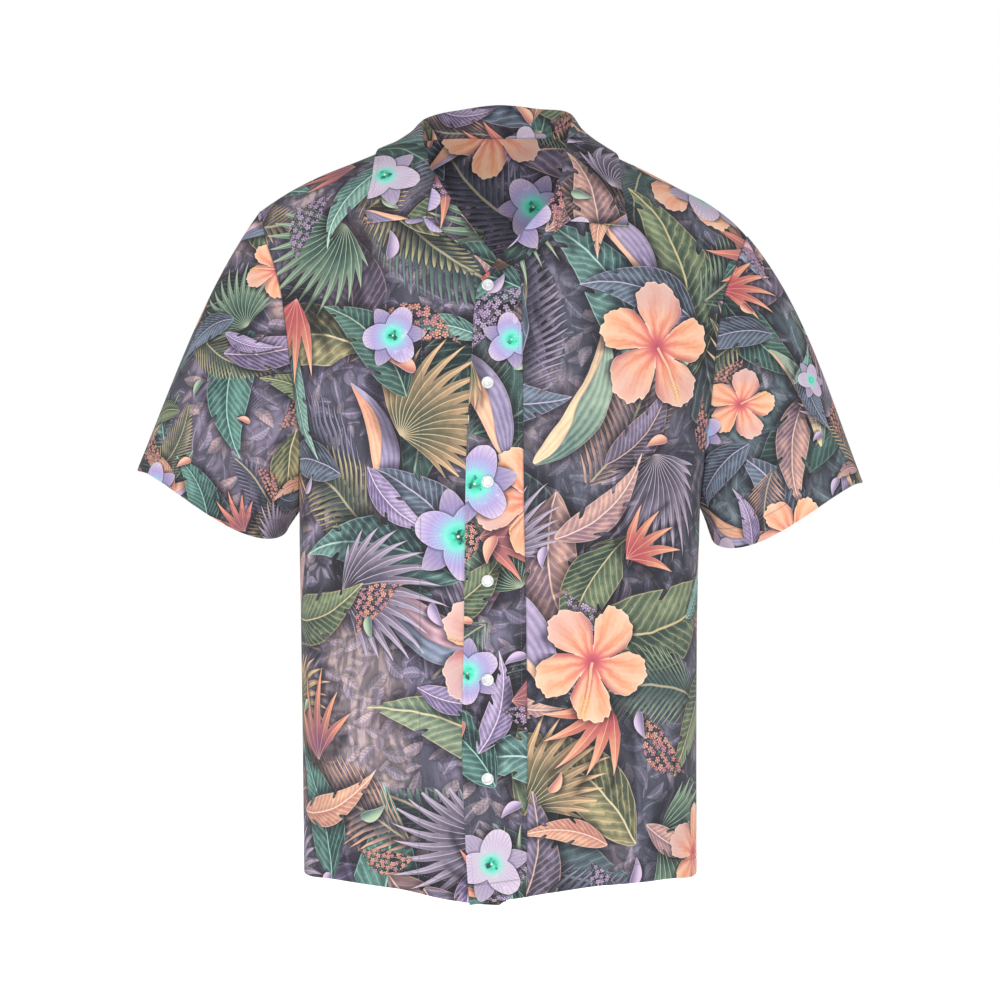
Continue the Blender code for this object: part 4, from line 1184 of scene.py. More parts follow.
def star(t, paint, warp, grain):
    """Flower of three broad petals over three narrow ones, with a bright heart."""
    x, y, own, live = motif(t, "m_star", warp, 0.08)
    r = t.math("SQRT", x * x + y * y)
    turn = t.math("ARCTAN2", y, x)
    back_ = abs(t.math("FRACT", turn * (3 / 6.28319) + 0.5) - 0.5) * 2.0944
    front = abs(t.math("FRACT", turn * (3 / 6.28319)) - 0.5) * 2.0944
    wide = t.sin(t.clamp(r * 1.02) ** 0.95 * 3.1416) ** 0.62 * 0.30
    wide = t.high(wide, t.step(0.16, 0.10, r) * 0.3)
    d_back = wide - back_ * r
    d_front = wide * 1.42 + (grain - 0.5) * 0.03 - front * r - t.step(0.86, 1.0, r) * 0.4
    colour = t.ramp(r, (0.0, "1F5A50"), (0.10, "35CDA8"), (0.26, "7CE0D0"), (0.42, "A6B8DA"), (0.60, "B3A3D0"), (0.82, "CDBBD6"), (0.98, "E3D3E0"))
    other = t.ramp(r, (0.0, "2A6A5C"), (0.10, "3FBC9E"), (0.22, "8AD6C8"), (0.36, "CDC4D0"), (0.60, "CDBCCE"), (0.85, "D6C6D4"), (0.98, "DFD2D8"))
    colour = t.mix(t.math("GREATER_THAN", own, 0.5), colour, other)
    rays = t.sin(front * 46.0 + grain * 7.0) * 0.5 + 0.5
    colour = t.mix(rays * 0.30 * t.step(0.15, 0.4, r), colour, "8476AE")
    colour = t.mix(t.step(0.58, 0.75, grain) * 0.45, colour, "F3E8EE")
    behind = t.mix(0.42, colour, "5E5480")
    petal_b = t.mix((1.0 - t.step(0.002, 0.028, d_back)) * 0.6, behind, "D9CCE0")
    petal_b = t.mix(t.step(-0.12, 0.0, d_front) * 0.65, petal_b, "443B5E")
    petal_f = t.mix((1.0 - t.step(0.002, 0.028, d_front)) * 0.7, colour, "F1E6F0")
    petal_f = t.mix((1.0 - t.step(0.002, 0.012, front * r)) * 0.4 * t.step(0.2, 0.35, r), petal_f, "8C7FB0")
    is_front = t.step(0.0, 0.010, d_front)
    colour = t.mix(is_front, petal_b, petal_f)
    lip = t.step(0.15, 0.11, r + t.sin(turn * 3.0 + 1.0) * 0.05 + t.sin(turn * 8.0) * 0.015)
    colour = t.mix(lip, colour, t.mix(t.step(0.4, 0.6, grain), "17463F", "48E0BC"))
    colour = t.mix(1.0 - t.step(0.016, 0.034, r), colour, "F6EFC2")
    mask = t.high(t.step(0.0, 0.010, d_back), is_front) * live
    soft = t.step(-0.22, 0.02, t.high(d_back, d_front)) * live * 0.9
    return painted(t, paint, mask, colour, srgb("535260"), soft)


def buds(t, paint, warp, grain):
    """Small drooping buds and petals between the larger motifs."""
    x, y, own, live = motif(t, "m_bud", warp, 0.06)
    side = abs(t.mad(x * x, 0.25, y))
    wide = t.high(1.0 - x * x, 0.0) ** 0.6 * (x * 0.20 + 0.38)
    d = wide - side
    mask = t.step(0.0, 0.04, d) * live
    dark = pick(t, own, "7A6A92", "B86E66", "4E7068")
    pale = pick(t, own, "D3BCD8", "F0BC9C", "B4C8A8")
    colour = t.mix(t.step(-0.3, 0.35, y + grain * 0.2), dark, pale)
    colour = t.mix((1.0 - t.step(0.01, 0.08, d)) * 0.6, colour, "EFE3E6")
    soft = t.step(-0.6, 0.0, d) * live * 0.8
    return painted(t, paint, mask, colour, srgb("54525F"), soft)


def ground(t, cut, tones):
    """Undergrowth in the dusk: soft patches of evening colour under two layers of small leaves."""
    broad = t.noise(cut, 7.5, 1.0, 0.5, colour=True)
    b0, b1, b2 = t.parts(broad)
    x, y, _ = t.parts(cut)
    dark, middle, pale, blush = tones
    patch = t.mix(t.step(0.42, 0.58, b0), dark, middle)
    patch = t.mix(t.step(0.54, 0.66, b1) * 0.65, patch, pale)
    patch = t.mix(t.step(0.58, 0.70, b2) * 0.65, patch, blush)
    strokes = t.noise(t.join(t.mad(b0, 0.05, x), t.mad(b1, 0.05, y) * 0.30), 95.0, 3.0, 0.60)
    colour = t.mix(t.step(0.62, 0.40, strokes) * 0.62 + 0.06, patch, DEEP)
    for scale, turn, light in ((58.0, 0.0, 0.30), (41.0, 1.9, 0.62)):
        _, tint, centre = t.cells(cut, scale, 0.9)
        c0, c1, c2 = t.parts(tint)
        px, py, _ = t.parts(centre)
        dx, dy = (x - px) * scale, (y - py) * scale
        way = t.mad(c0, 6.2832, turn)
        c, s = t.cos(way), t.sin(way)
        u = t.mad(dx, c, dy * s) * t.mad(c1, 0.8, 1.25)
        v = t.mad(dy, c, dx * s * -1.0)
        v = t.mad(u * u, t.mad(c2, 0.4, -0.2), v)
        inside = t.mad(u * u, -0.24, 0.24) - abs(v)
        leaf_ = t.mix(c1 * light, patch, pale)
        leaf_ = t.mix(t.step(0.62, 0.70, c2) * light, leaf_, blush)
        leaf_ = t.mix(t.step(-0.02, 0.02, v) * 0.45, leaf_, dark)
        veins = t.step(0.1, 0.7, t.sin(t.mad(u, 24.0, abs(v) * -34.0)))
        leaf_ = t.mix(veins * 0.35, leaf_, DEEP)
        leaf_ = t.mix(t.step(0.055, 0.015, abs(v)) * 0.6, leaf_, pale)
        leaf_ = t.mix(t.step(0.60, 0.42, strokes) * 0.45, leaf_, DEEP)
        shadow = t.step(-0.22, 0.04, inside) * t.step(0.95, 0.6, abs(u))
        colour = t.mix(shadow * 0.50, colour, DEEP)
        colour = t.mix(t.step(0.0, 0.035, inside), colour, leaf_)
    return colour


MOTIFS = {
    "broad": lambda t, c, w, g: leaf(t, c, w, g, "m_broad", 3),
    "fern": lambda t, c, w, g: fern(t, c, w, g),
    "leaf": lambda t, c, w, g: leaf(t, c, w, g),
    "fern2": lambda t, c, w, g: fern(t, c, w, g, "m_fern2", True),
    "leaf2": lambda t, c, w, g: leaf(t, c, w, g, "m_leaf2", 1),
    "strap": strap,
    "leaf4": lambda t, c, w, g: leaf(t, c, w, g, "m_leaf4", 0),
    "blade": lambda t, c, w, g: blades(t, c, w, g),
    "leaf3": lambda t, c, w, g: leaf(t, c, w, g, "m_leaf3", 2),
    "spike": lambda t, c, w, g: blades(t, c, w, g, "m_spike", True),
    "sprig": sprig,
    "bud": buds,
    "blossom": blossom,
    "star": star,
}


def print_group(layers):
    """The printed cloth's colour, bump and roughness, shared by all the panels' materials."""
    group = bpy.data.node_groups.new("printed_cloth", "ShaderNodeTree")
    for socket in ("Dark", "Middle", "Pale", "Blush"):
        group.interface.new_socket(name=socket, in_out="INPUT", socket_type="NodeSocketColor")
    for socket, kind in (("Colour", "Color"), ("Height", "Float"), ("Roughness", "Float")):
        group.interface.new_socket(name=socket, in_out="OUTPUT", socket_type=f"NodeSocket{kind}")
    t = Tree(group)
    given = t.node("NodeGroupInput")
    tones = [Wire(t, given.outputs[k]) for k in range(4)]
    cut, _ = t.read("cut")
    colour = ground(t, cut, tones)
    bent = t.noise(cut, 26.0, 2.0, 0.5, colour=True)
    wx, wy, grain = t.parts(bent)
    warp = (wx - 0.5, wy - 0.5, grain)
    grain = t.mad(t.noise(cut, 105.0, 2.0, 0.6), 0.55, grain * 0.45)
    for layer in layers:
        colour = MOTIFS[layer](t, colour, warp, grain)
    # the white cloth shows through the ink, so no print colour is quite dark or quite pure
    colour = t.mix(0.045, colour, "A29BA8")
    # the ink lies a little unevenly on the threads
    fine = t.noise(cut, 900.0, 2.0, 0.6)
    colour = t.mix(t.step(0.50, 0.80, fine) * 0.035, colour, "FFFFFF")
    colour = t.mix(t.step(0.50, 0.20, fine) * 0.09, colour, "2A2A33")
    # edges: (off the stitch line, run along it, distance to the nearest seam)
    marks, _ = t.read("edge")
    off, run, seam = t.parts(marks)
    line = t.step(0.0011, 0.0002, abs(off))
    # painted shade: a thin dark line along the hem and cuff stitches and the facing's stitched line, standing in for
    # the shade in their groove
    colour = t.mix(line * 0.26, colour, "33323C")
    # painted shade: the cloth darkens within about 2 mm of each seam, standing in for the shade in the seam's groove
    colour = t.mix(t.step(0.0022, 0.0003, seam) * 0.30, colour, "2E2D38")
    # plain weave, 0.42 mm from thread to thread, and the slight draw of stitches and seams
    x, y, _ = t.parts(cut)
    weave = t.sin(x * (6.28319 / 0.00084)) * t.sin(y * (6.28319 / 0.00084))
    pucker = t.sin(run * (6.28319 / 0.0032) + 1.5) * t.step(0.0046, 0.0006, abs(off))
    near = t.step(0.016, 0.002, t.low(seam, abs(off)))
    draw = t.step(0.30, 0.70, t.noise(cut, 46.0, 1.0, 0.5)) * near
    given = t.node("NodeGroupOutput")
    t.put(given.inputs[0], colour)
    t.put(given.inputs[1], weave * 0.35 + fine * 0.5 + pucker * 0.9 - line * 1.4 + draw * 2.2)
    t.put(given.inputs[2], t.mad(fine, 0.10, 0.76))
    return group


def print_material(name, tones, group):
    """Printed cloth with its own ground colours, a fine plain weave and a soft dry surface."""
    material = bpy.data.materials.new(name)
    material.use_nodes = True
    tree = material.node_tree
    shader = tree.nodes["Principled BSDF"]
    cloth = tree.nodes.new("ShaderNodeGroup")
    cloth.node_tree = group
    cloth.location = (-500, 200)
    for socket, tone in zip(cloth.inputs, tones, strict=True):
        socket.default_value = srgb(tone)
    bump = tree.nodes.new("ShaderNodeBump")
    bump.location = (-250, -100)
    bump.inputs["Strength"].default_value = 0.5
    bump.inputs["Distance"].default_value = 0.00010
    tree.links.new(cloth.outputs[0], shader.inputs["Base Color"])
    tree.links.new(cloth.outputs[1], bump.inputs["Height"])
    tree.links.new(bump.outputs[0], shader.inputs["Normal"])
    tree.links.new(cloth.outputs[2], shader.inputs["Roughness"])
    shader.inputs["Specular IOR Level"].default_value = 0.18
    shader.inputs["Sheen Weight"].default_value = 0.06
    shader.inputs["Sheen Roughness"].default_value = 0.5
    return material


# ---------------------------------------------------------------- placing the motifs


def scattered(rng, low, high, count, sizes, apart=1.0, tries=60, keep=None):
    """Round places that don't overlap, as rows of (x, y, size)."""
    places = []
    for turn in range(count):
        # the larger ones first, then smaller ones in the gaps
        size = sizes[1] + (sizes[0] - sizes[1]) * turn / max(count - 1, 1)
        for _ in range(tries):
            x, y = rng.uniform(low - size * 0.4, high + size * 0.4)
            if keep is not None and not keep(x, y):
                continue
            if all(
                math.hypot(x - a, y - b) > (size + s) * apart + 0.004 for a, b, s in places
            ):
                places.append((x, y, size))
                break
    return np.array(places).reshape(-1, 3)


def placed(flat, places, rng, turn=None):
    """Each point's place in its nearest motif: (x, y, distance, a number of the motif's own)."""
    p = flat.reshape(-1, 2)
    values = np.zeros((len(p), 4), np.float32)
    values[:, 2] = 9.0
    if not len(places):
        return values
    best = np.full(len(p), np.inf)
    for x, y, size in places:
        angle_ = rng.uniform(-math.pi, math.pi) if turn is None else rng.normal(turn[0], turn[1])
        own = rng.uniform(0.02, 0.98)
        d = p - (x, y)
        r = np.hypot(d[:, 0], d[:, 1]) / size
        near = r < best
        c, s = math.cos(angle_), math.sin(angle_)
        u = (d[near, 0] * c + d[near, 1] * s) / size
        v = (-d[near, 0] * s + d[near, 1] * c) / size
        best[near] = r[near]
        values[near] = np.stack([u, v, r[near], np.full(near.sum(), own)], 1)
    return values

# ================================================================ the garment
rng = np.random.default_rng(417)


def outwards(p):
    """Normals of a body panel's grid, turned away from the inside."""
    n = cross_grid(p)
    centre = p * np.array([0.0, 0.0, 1.0])
    centre[..., 2] = np.minimum(centre[..., 2], -0.12)
    return n if np.sum(n * (p - centre)) > 0 else -n


def across_up(net):
    """First guess of a flat cut: straight on from the front."""
    return net[..., [0, 2]] * 1.0


def across_up_back(net):
    """First guess of the back's flat cut, seen from behind."""
    return net[..., [0, 2]] * np.array([-1.0, 1.0])


# columns of the two fronts and the back
COLS_FRONT_RIGHT = side_columns([(0, NECK_COLS, 0.176), (NECK_COLS, 13, 0.150)])
COLS_FRONT_LEFT = side_columns([(0, NECK_COLS, 0.166), (NECK_COLS, 13, 0.155)])
COLS_BACK = side_columns([(0, 5, 0.150), (5, 17, 0.330), (17, 22, 0.150)])

qz_right, right, under_right = body_panel(lambda k, r: front_qz(-1, k, r), COLS_FRONT_RIGHT)
qz_left, left, under_left = body_panel(lambda k, r: front_qz(1, k, r), COLS_FRONT_LEFT)
qz_back, back, under_back = body_panel(back_qz, COLS_BACK, True)


def rows_of(p):
    """Row numbers that run with the length of the cloth."""
    mid = p[:, p.shape[1] // 2]
    run = np.r_[0, np.cumsum(np.linalg.norm(np.diff(mid, axis=0), axis=1))]
    return run / run[-1]


# the right front passes behind the placket
push = np.clip((right[..., 0] + 0.060) / 0.026, 0, 1)
right[..., 1] += LAP_DROP * push * push * (3 - 2 * push)

n_right, n_left, n_back = outwards(right), outwards(left), outwards(back)

front_right = Shell("cloth_front_right", right, n_right, COLS_FRONT_RIGHT, rows_of(right))
front_left = Shell("cloth_front_left", left, n_left, COLS_FRONT_LEFT, rows_of(left))
back_panel = Shell("cloth_back", back, n_back, COLS_BACK, rows_of(back))


def share_normals(a, ca, ra, b, cb, rb):
    """Two sewn edges turn their cloth the same way."""
    mean = unit(a[ra, ca] + b[rb, cb])
    a[ra, ca] = mean
    b[rb, cb] = mean


low = slice(0, under_right + 1)
if under_right == under_back == under_left:
    share_normals(n_right, -1, low, n_back, 0, low)
    share_normals(n_left, -1, low, n_back, -1, low)


def match_ridge(n_front, front, back_n, back_p, columns):
    """The shoulder seam: the back takes the mean normal at each of the front's points."""
    k0 = np.searchsorted(front.k, NECK_COLS)
    fp, fn = front.p[-1, k0:], n_front[-1, k0:]
    bp, bn = back_p[-1, columns], back_n[-1, columns]
    for i in range(len(fp)):
        j = np.argmin(np.linalg.norm(bp - fp[i], axis=1))
        fn[i] = unit(fn[i] + bn[j])
    for j in range(len(bp)):
        i = np.argmin(np.linalg.norm(fp - bp[j], axis=1))
        bn[j] = fn[i]
    n_front[-1, k0:] = fn
    back_n[-1, columns] = bn


match_ridge(n_right, front_right, n_back, back, COLS_BACK <= 5)
match_ridge(n_left, front_left, n_back, back, COLS_BACK >= 17)

for shell in (front_right, front_left):
    shell.flat = flatten(shell.p, shell.k, shell.r, across_up)
back_panel.flat = flatten(back_panel.p, back_panel.k, back_panel.r, across_up_back)

# ---------------------------------------------------------------- placket
vee = vee_line(1)
cut_line = crossing(vee)
turn = np.vstack([vee[: len(vee) - len(cut_line) + 1], cut_line[:1]])
u = lines_in(0, 1, 20)
v = lines_in(0, 1, int(0.62 / STEP))
foot = vee[0]
top = even(turn[::-1], u)
low_z = float(hem_z(angle(seam_x(HEM_Z), HEM_Z)))
seam_z = low_z + (cut_line[0, 1] - low_z) * v
edge_z = (float(hem_z(0.0)) - 0.0020) * (1 - v) + foot[1] * v
seam_line = np.stack([seam_x(seam_z), seam_z], 1)
edge_line = np.stack([edge_x(edge_z), edge_z], 1)
bottom = seam_line[0] + (edge_line[0] - seam_line[0]) * u[:, None]
xz = coons(bottom, top, seam_line, edge_line, u, v)
band = on_body(xz[..., 0], xz[..., 1])
n_band = outwards(band)
placket = Shell("cloth_placket", band, n_band, u, v)
placket.flat = flatten(band, u, v, across_up)

# ---------------------------------------------------------------- sleeves


def sleeve_points(side, arm, arm_n, arm_e, t):
    """Rings from the armhole seam to the cuff at shares t of the way."""
    top_x, top_z, low_x, low_z, depth, front_hang, back_hang = SLEEVES[
        "right" if side < 0 else "left"
    ]
    top_p = np.array([side * top_x, 0.0, top_z])
    low_p = np.array([side * low_x, 0.0, low_z])
    centre, chord = (top_p + low_p) / 2, (top_p - low_p) / 2
    axis = unit(np.array([side * abs(chord[2]), 0.0, -abs(chord[0])]))
    half = len(arm) // 2
    run = np.linalg.norm(np.diff(np.vstack([arm, arm[:1]]), axis=0), axis=1)
    front, rear = np.r_[0, np.cumsum(run[:half])], np.r_[0, np.cumsum(run[half:])]
    around = np.r_[math.pi - math.pi * front / front[-1], -math.pi * rear[1:-1] / rear[-1]]
    c, s = np.cos(around), np.sin(around)
    hang = np.where(s > 0, front_hang, back_hang) * np.abs(s) * (1 - c) / 1.3
    hang = hang - np.where(s > 0, CUFF_LIFT, 0.0) * np.abs(s) * (1 + c) / 2
    cuff = (
        centre
        + c[:, None] * chord
        + s[:, None] * np.array([0.0, -depth, 0.0])
        + hang[:, None] * axis
    )
    up = (1 + c) / 2
    leave = unit(
        np.stack(
            [
                side * (0.46 + (0.09 if side < 0 else 0.18) * up),
                -0.16 * s,
                -(0.86 - 0.10 * up),
            ],
            1,
        )
    )
    cosine = np.sum(leave * arm_e, 1)
    sine = np.sqrt(np.clip(1 - cosine**2, 0, 1))
    root = (
        arm
        + arm_n * ((1 - cosine) / 2 * (WALL + GAP + 0.0004))[:, None]
        + leave * (GAP + WALL / 2 * sine)[:, None]
    )
    length = np.linalg.norm(cuff - root, axis=1)[:, None]
    t = np.asarray(t)[:, None, None]
    m0, m1 = leave * length, axis[None] * length
    return (
        (2 * t**3 - 3 * t**2 + 1) * root
        + (t**3 - 2 * t**2 + t) * m0
        + (-2 * t**3 + 3 * t**2) * cuff
        + (t**3 - t**2) * m1
    ), around


def make_sleeve(side, front, n_front, rows, name):
    """The sleeve's shell. Its first ring tucks in under the armhole seam."""
    r = HEM_ROWS + ARM_ROWS * np.linspace(0, 1, 2001)
    q_front = side_edge(side, r)
    run = runs(body(q_front[:, 0], q_front[:, 1])[None], 1)[0]
    r = np.interp(np.linspace(0, run[-1], 77), run, r)
    q_front = side_edge(side, r)
    fp = body(q_front[:, 0], q_front[:, 1])
    bp = body(q_front[:, 0], q_front[:, 1], True)

    def nearest(points, grid_p, grid_n, col):
        out = []
        for p_ in points:
            i = np.argmin(np.linalg.norm(grid_p[:, col] - p_, axis=1))
            out.append(grid_n[i, col])
        return np.array(out)

    fn = nearest(fp, front, n_front, -1)
    bcol = 0 if side < 0 else -1
    bn = nearest(bp, back, n_back, bcol)
    # the way each panel runs off its edge
    inner_f = body(q_front[:, 0] * 0.94, q_front[:, 1])
    inner_b = body(q_front[:, 0] * 0.94, q_front[:, 1], True)
    fe, be = unit(fp - inner_f), unit(bp - inner_b)
    arm = np.vstack([fp, bp[1:-1][::-1]])
    arm_n = np.vstack([fn, bn[1:-1][::-1]])
    arm_e = np.vstack([fe, be[1:-1][::-1]])
    arm_e[0] = (0.0, 0.0, 1.0)
    length = 0.235
    t = lines_in(0, 1, int(length / STEP))
    grid, around = sleeve_points(side, arm, arm_n, arm_e, t)
    tuck = arm - arm_n * 0.0005
    grid = np.concatenate([tuck[None], grid], 0)
    n = ring_cross(grid)
    n = n if np.sum(n * (grid - grid.mean(axis=1, keepdims=True))) > 0 else -n
    # the seam's cloth turns with the panels
    n[0] = unit(arm_n + n[1] * 0.3)
    # the underarm seam closes the tube, so its line is both the first and the last
    grid, n = (np.concatenate([a, a[:, :1]], 1) for a in (grid, n))
    shell = Shell(name, grid, n, np.arange(grid.shape[1], dtype=float), np.r_[-0.01, t])
    # opened flat along the underarm seam, the top line in the middle
    across = runs(grid, 1)
    top_col = len(fp) - 1
    x = across - across[:, top_col : top_col + 1]
    y = runs(grid, 0)
    y = y[-1:] - y

    def guess(net):
        return guess_xy[np.ix_(guess_rows, guess_cols)]

    guess_rows = np.unique(np.round(np.linspace(0, grid.shape[0] - 1, 26)).astype(int))
    guess_cols = np.unique(np.round(np.linspace(0, grid.shape[1] - 1, 18)).astype(int))
    guess_xy = np.stack([x, y], -1)
    flat = flatten(grid, shell.k, shell.r, guess)
    if side < 0:
        flat[..., 0] *= -1
    shell.flat = flat
    return shell


sleeve_right = make_sleeve(-1, right, n_right, None, "cloth_sleeve_right")
sleeve_left = make_sleeve(1, left, n_left, None, "cloth_sleeve_left")

# ================================================================ collar and lapels
TIMES = 6  # how much finer the collar's shell is than its solid's grid
ROLL = 0.0014  # how far a roll stands out into the neck opening


def finer(p, times, axis=0):
    """A grid with more lines, on a Catmull-Rom curve through the old ones."""
    p = np.moveaxis(np.asarray(p, float), axis, 0)
    n = len(p)
    pad = np.concatenate([2 * p[:1] - p[1:2], p, 2 * p[-1:] - p[-2:-1]])
    at = np.linspace(0, n - 1, (n - 1) * times + 1)
    i = np.minimum(at.astype(int), n - 2)
    t = (at - i).reshape(-1, *[1] * (p.ndim - 1))
    a, b, c, d = pad[i], pad[i + 1], pad[i + 2], pad[i + 3]
    out = 0.5 * (
        2 * b + (c - a) * t + (2 * a - 5 * b + 4 * c - d) * t * t + (3 * b - a - 3 * c + d) * t**3
    )
    return np.moveaxis(out, 0, axis)


def fine_edges(p, axis=0, near=(0.09, 0.22, 0.45)):
    p = np.moveaxis(np.asarray(p, float), axis, 0)
    return np.moveaxis(insert_rows(p, near), 0, axis)


def body_normal(x, z, back=False):
    d = 0.0015
    a = on_body(np.asarray(x) + d, z, back) - on_body(np.asarray(x) - d, z, back)
    b = on_body(x, np.asarray(z) + d, back) - on_body(x, np.asarray(z) - d, back)
    n = unit(np.cross(a, b))
    return n * (np.sign(n[..., 1:2]) * (1 if back else -1))


def catmull(key, values, at, before):
    """Catmull-Rom through a column; before is the row that would come ahead of the first."""
    i = np.clip(np.floor(at).astype(int), 0, len(key) - 2)
    t = at - i
    pad = np.r_[before, values, 2 * values[-1] - values[-2]]
    a, b, c, d = pad[i], pad[i + 1], pad[i + 2], pad[i + 3]
    return 0.5 * (
        2 * b + (c - a) * t + (2 * a - 5 * b + 4 * c - d) * t * t + (3 * b - a - 3 * c + d) * t**3
    )


def tree_of(grids):
    """Search tree over the middle surfaces of panels, with their faces turned out."""
    verts, faces = [], []
    for grid, n in grids:
        start = len(verts)
        rows, cols = grid.shape[:2]
        verts.extend(map(Vector, grid.reshape(-1, 3)))
        own = cross_grid(grid)
        quads = np.arange(rows - 1)[:, None] * cols + np.arange(cols - 1)
        quads = np.stack([quads, quads + 1, quads + cols + 1, quads + cols], -1).reshape(-1, 4)
        if np.sum(np.cross(np.gradient(grid, axis=1), np.gradient(grid, axis=0)) * n) < 0:
            quads = quads[:, ::-1]
        faces.extend((quads + start).tolist())
    return BVHTree.FromPolygons(verts, faces)


def lifted(point, tree, lift, signed):
    """A point moved out to at least a given height above the panels."""
    spot, normal, _, reach = tree.find_nearest(Vector(point))
    way = Vector(point) - spot
    under = signed and way.dot(normal) < 0
    if under or reach < lift:
        out = normal if reach < 0.0004 else (-way if under else way).normalized()
        return np.array(spot + out * lift)
    return point


def settle(p, lift, tree, rounds=6, between=True):
    """Rests a grid on the panels. The moves are evened out over the grid."""
    move = np.zeros_like(p)
    for k in range(rounds):
        if k:
            pad = np.pad(move, ((1, 1), (1, 1), (0, 0)), mode="edge")
            move = (
                4 * move + pad[:-2, 1:-1] + pad[2:, 1:-1] + 2 * pad[1:-1, :-2] + 2 * pad[1:-1, 2:]
            ) / 10
        q = p + move
        for r in range(p.shape[0]):
            for c in range(p.shape[1]):
                q[r, c] = lifted(q[r, c], tree, lift[r, c], lift[r, c] > STAND_OFF)
        for dr, dc in ((0, 1), (1, 0), (1, 1)) if between else ():
            for r in range(p.shape[0] - dr):
                for c in range(p.shape[1] - dc):
                    mid = (q[r, c] + q[r + dr, c + dc]) / 2
                    least = min(lift[r, c], lift[r + dr, c + dc])
                    push = lifted(mid, tree, least, least > STAND_OFF) - mid
                    q[r, c] += push
                    q[r + dr, c + dc] += push
        move = q - p
    return p + move


def neck_path(side, table):
    """The collar's seam from the back centre round to the front end, as points on the body,
    and the place of each table row along it."""
    turn = 1 - (1 - np.linspace(0, 1, 900)) ** 3
    x = neck_back_x(side * turn)
    rear = on_body(x, neck_back_z(x), True)
    line = vee_line(side)[::-1]
    front = on_body(line[:, 0], line[:, 1])
    start = int(np.argmin(np.abs(line[:, 1] - table[GORGE_AT][1])))
    gorge = np.array([on_body(row[0], row[1]) for row in table[GORGE_AT:]])
    path = np.vstack([rear, front[1:start], gorge])
    marks = []
    for k, row in enumerate(table):
        if k < 3:
            marks.append(int(np.argmin(np.abs(x - row[0]))))
        elif k == 3:
            marks.append(len(rear) - 1)
        elif k < GORGE_AT:
            marks.append(len(rear) - 1 + int(np.argmin(np.abs(line[:start, 1] - row[1]))))
        else:
            marks.append(len(rear) - 1 + start + k - GORGE_AT)
    return path, marks


def collar_half(side, table):
    """Half the collar's grid from the neck seam over the roll to the leaf's edge, how high
    each point lies at least, and the seam at the shell's own columns."""
    shares = np.linspace(0, 1, COLLAR_ROWS)
    path, marks = neck_path(side, table)
    run = np.r_[0, np.cumsum(np.linalg.norm(np.diff(path, axis=0), axis=1))]
    lines, lifts = [], []
    for k, row in enumerate(table):
        n, r, e = path[marks[k]], np.array(row[2:5]), np.array(row[5:8])
        if k < GORGE_AT:
            sag = np.array([-side * LEAF_SAG, 0, -LEAF_SAG / 2]) * (2 <= k <= 4)
            crest = r + unit(r - n) * 0.001
            leaf_ = e - r
            line = np.vstack(
                [n, n + (r - n) * 0.6, crest, r + leaf_ * 0.28 + sag, r + leaf_ * 0.62 + sag, e]
            )
            low_ = STAND_OFF + 0.0001 * (k > 3)  # a front section stays on the outside
            lifts.append(np.where(shares > (0.5 if k > 3 else 0.6), LAY, low_))
        else:
            line = np.vstack([n + (e - n) * t for t in (0, 0.2, 0.4, 0.6, 0.8, 1)])
            lifts.append(np.full(COLLAR_ROWS, LAY))
        lines.append(even(line, shares))
    lines, lifts = np.array(lines), np.array(lifts)
    key = np.arange(len(table), dtype=float)

    def seam_at(count):
        at_ = np.interp(np.linspace(0, len(table) - 1, count), key, run[marks])
        return np.stack([np.interp(at_, run, path[:, a]) for a in range(3)], 1)

    fine = np.linspace(0, len(table) - 1, (len(table) - 1) * COLLAR_STEPS + 1)
    seam = seam_at(len(fine))
    rows = np.array(
        [
            np.stack(
                [
                    catmull(key, lines[:, r, a], fine, lines[1, r, a] * (-1, 1, 1)[a])
                    for a in range(3)
                ],
                -1,
            )
            for r in range(COLLAR_ROWS)
        ]
    )
    # the stand follows the seam exactly, the leaf only its sections
    hold = np.clip(1 - shares / 0.4, 0, 1)[:, None, None]
    rows = rows + (seam - rows[:1]) * hold
    lift = np.stack([np.interp(fine, key, lifts[:, r]) for r in range(COLLAR_ROWS)])
    return rows, lift, seam_at((len(fine) - 1) * TIMES + 1)


panels_tree = tree_of([(right, n_right), (left, n_left), (back, n_back)])
half_right, lift_right, seam_right = collar_half(-1, COLLAR_RIGHT)
half_left, lift_left, seam_left = collar_half(1, COLLAR_LEFT)
coarse = np.concatenate([half_right[:, :0:-1], half_left], axis=1)
lift = np.concatenate([lift_right[:, :0:-1], lift_left], axis=1)
coarse[0] += unit(coarse[1] - coarse[0]) * ((GAP + WALL) * (lift[0] < LAY - 0.0001))[:, None]
coarse = settle(coarse, lift, panels_tree)
neck_seam = np.concatenate([seam_right[:0:-1], seam_left])

sheet_p = finer(finer(coarse, TIMES, 0), TIMES, 1)
sheet_lift = np.stack(
    [
        np.interp(np.linspace(0, 8, 8 * TIMES + 1), np.arange(9), col)
        for col in np.stack(
            [
                np.interp(
                    np.linspace(0, lift.shape[1] - 1, sheet_p.shape[1]),
                    np.arange(lift.shape[1]),
                    row,
                )
                for row in lift
            ]
        ).T
    ],
    1,
)
sheet_p = settle(sheet_p, sheet_lift - 0.0002, panels_tree, 3, False)
# the bound seam: the stand's first few millimetres come down onto the neck edge
d = runs(sheet_p, 0)
ends = np.minimum(np.arange(sheet_p.shape[1]), np.arange(sheet_p.shape[1])[::-1])
stand = ease(2.0 * COLLAR_STEPS * TIMES - 2, 2.0 * COLLAR_STEPS * TIMES + 6, ends)
hold = np.clip(1 - d / 0.0055, 0, 1) ** 2 * stand
sheet_p = sheet_p + (neck_seam - sheet_p[0])[None] * hold[..., None]
sheet_p = fine_edges(fine_edges(sheet_p, 0), 1)
n_collar = cross_grid(sheet_p)
n_collar = n_collar if n_collar[-1, n_collar.shape[1] // 2, 1] > 0 else -n_collar
across = runs(sheet_p, 1)
collar = Shell(
    "cloth_collar",
    sheet_p,
    n_collar,
    np.arange(sheet_p.shape[1], dtype=float),
    np.arange(sheet_p.shape[0], dtype=float),
)
collar.out[:] = collar.inn[:] = 0.00062
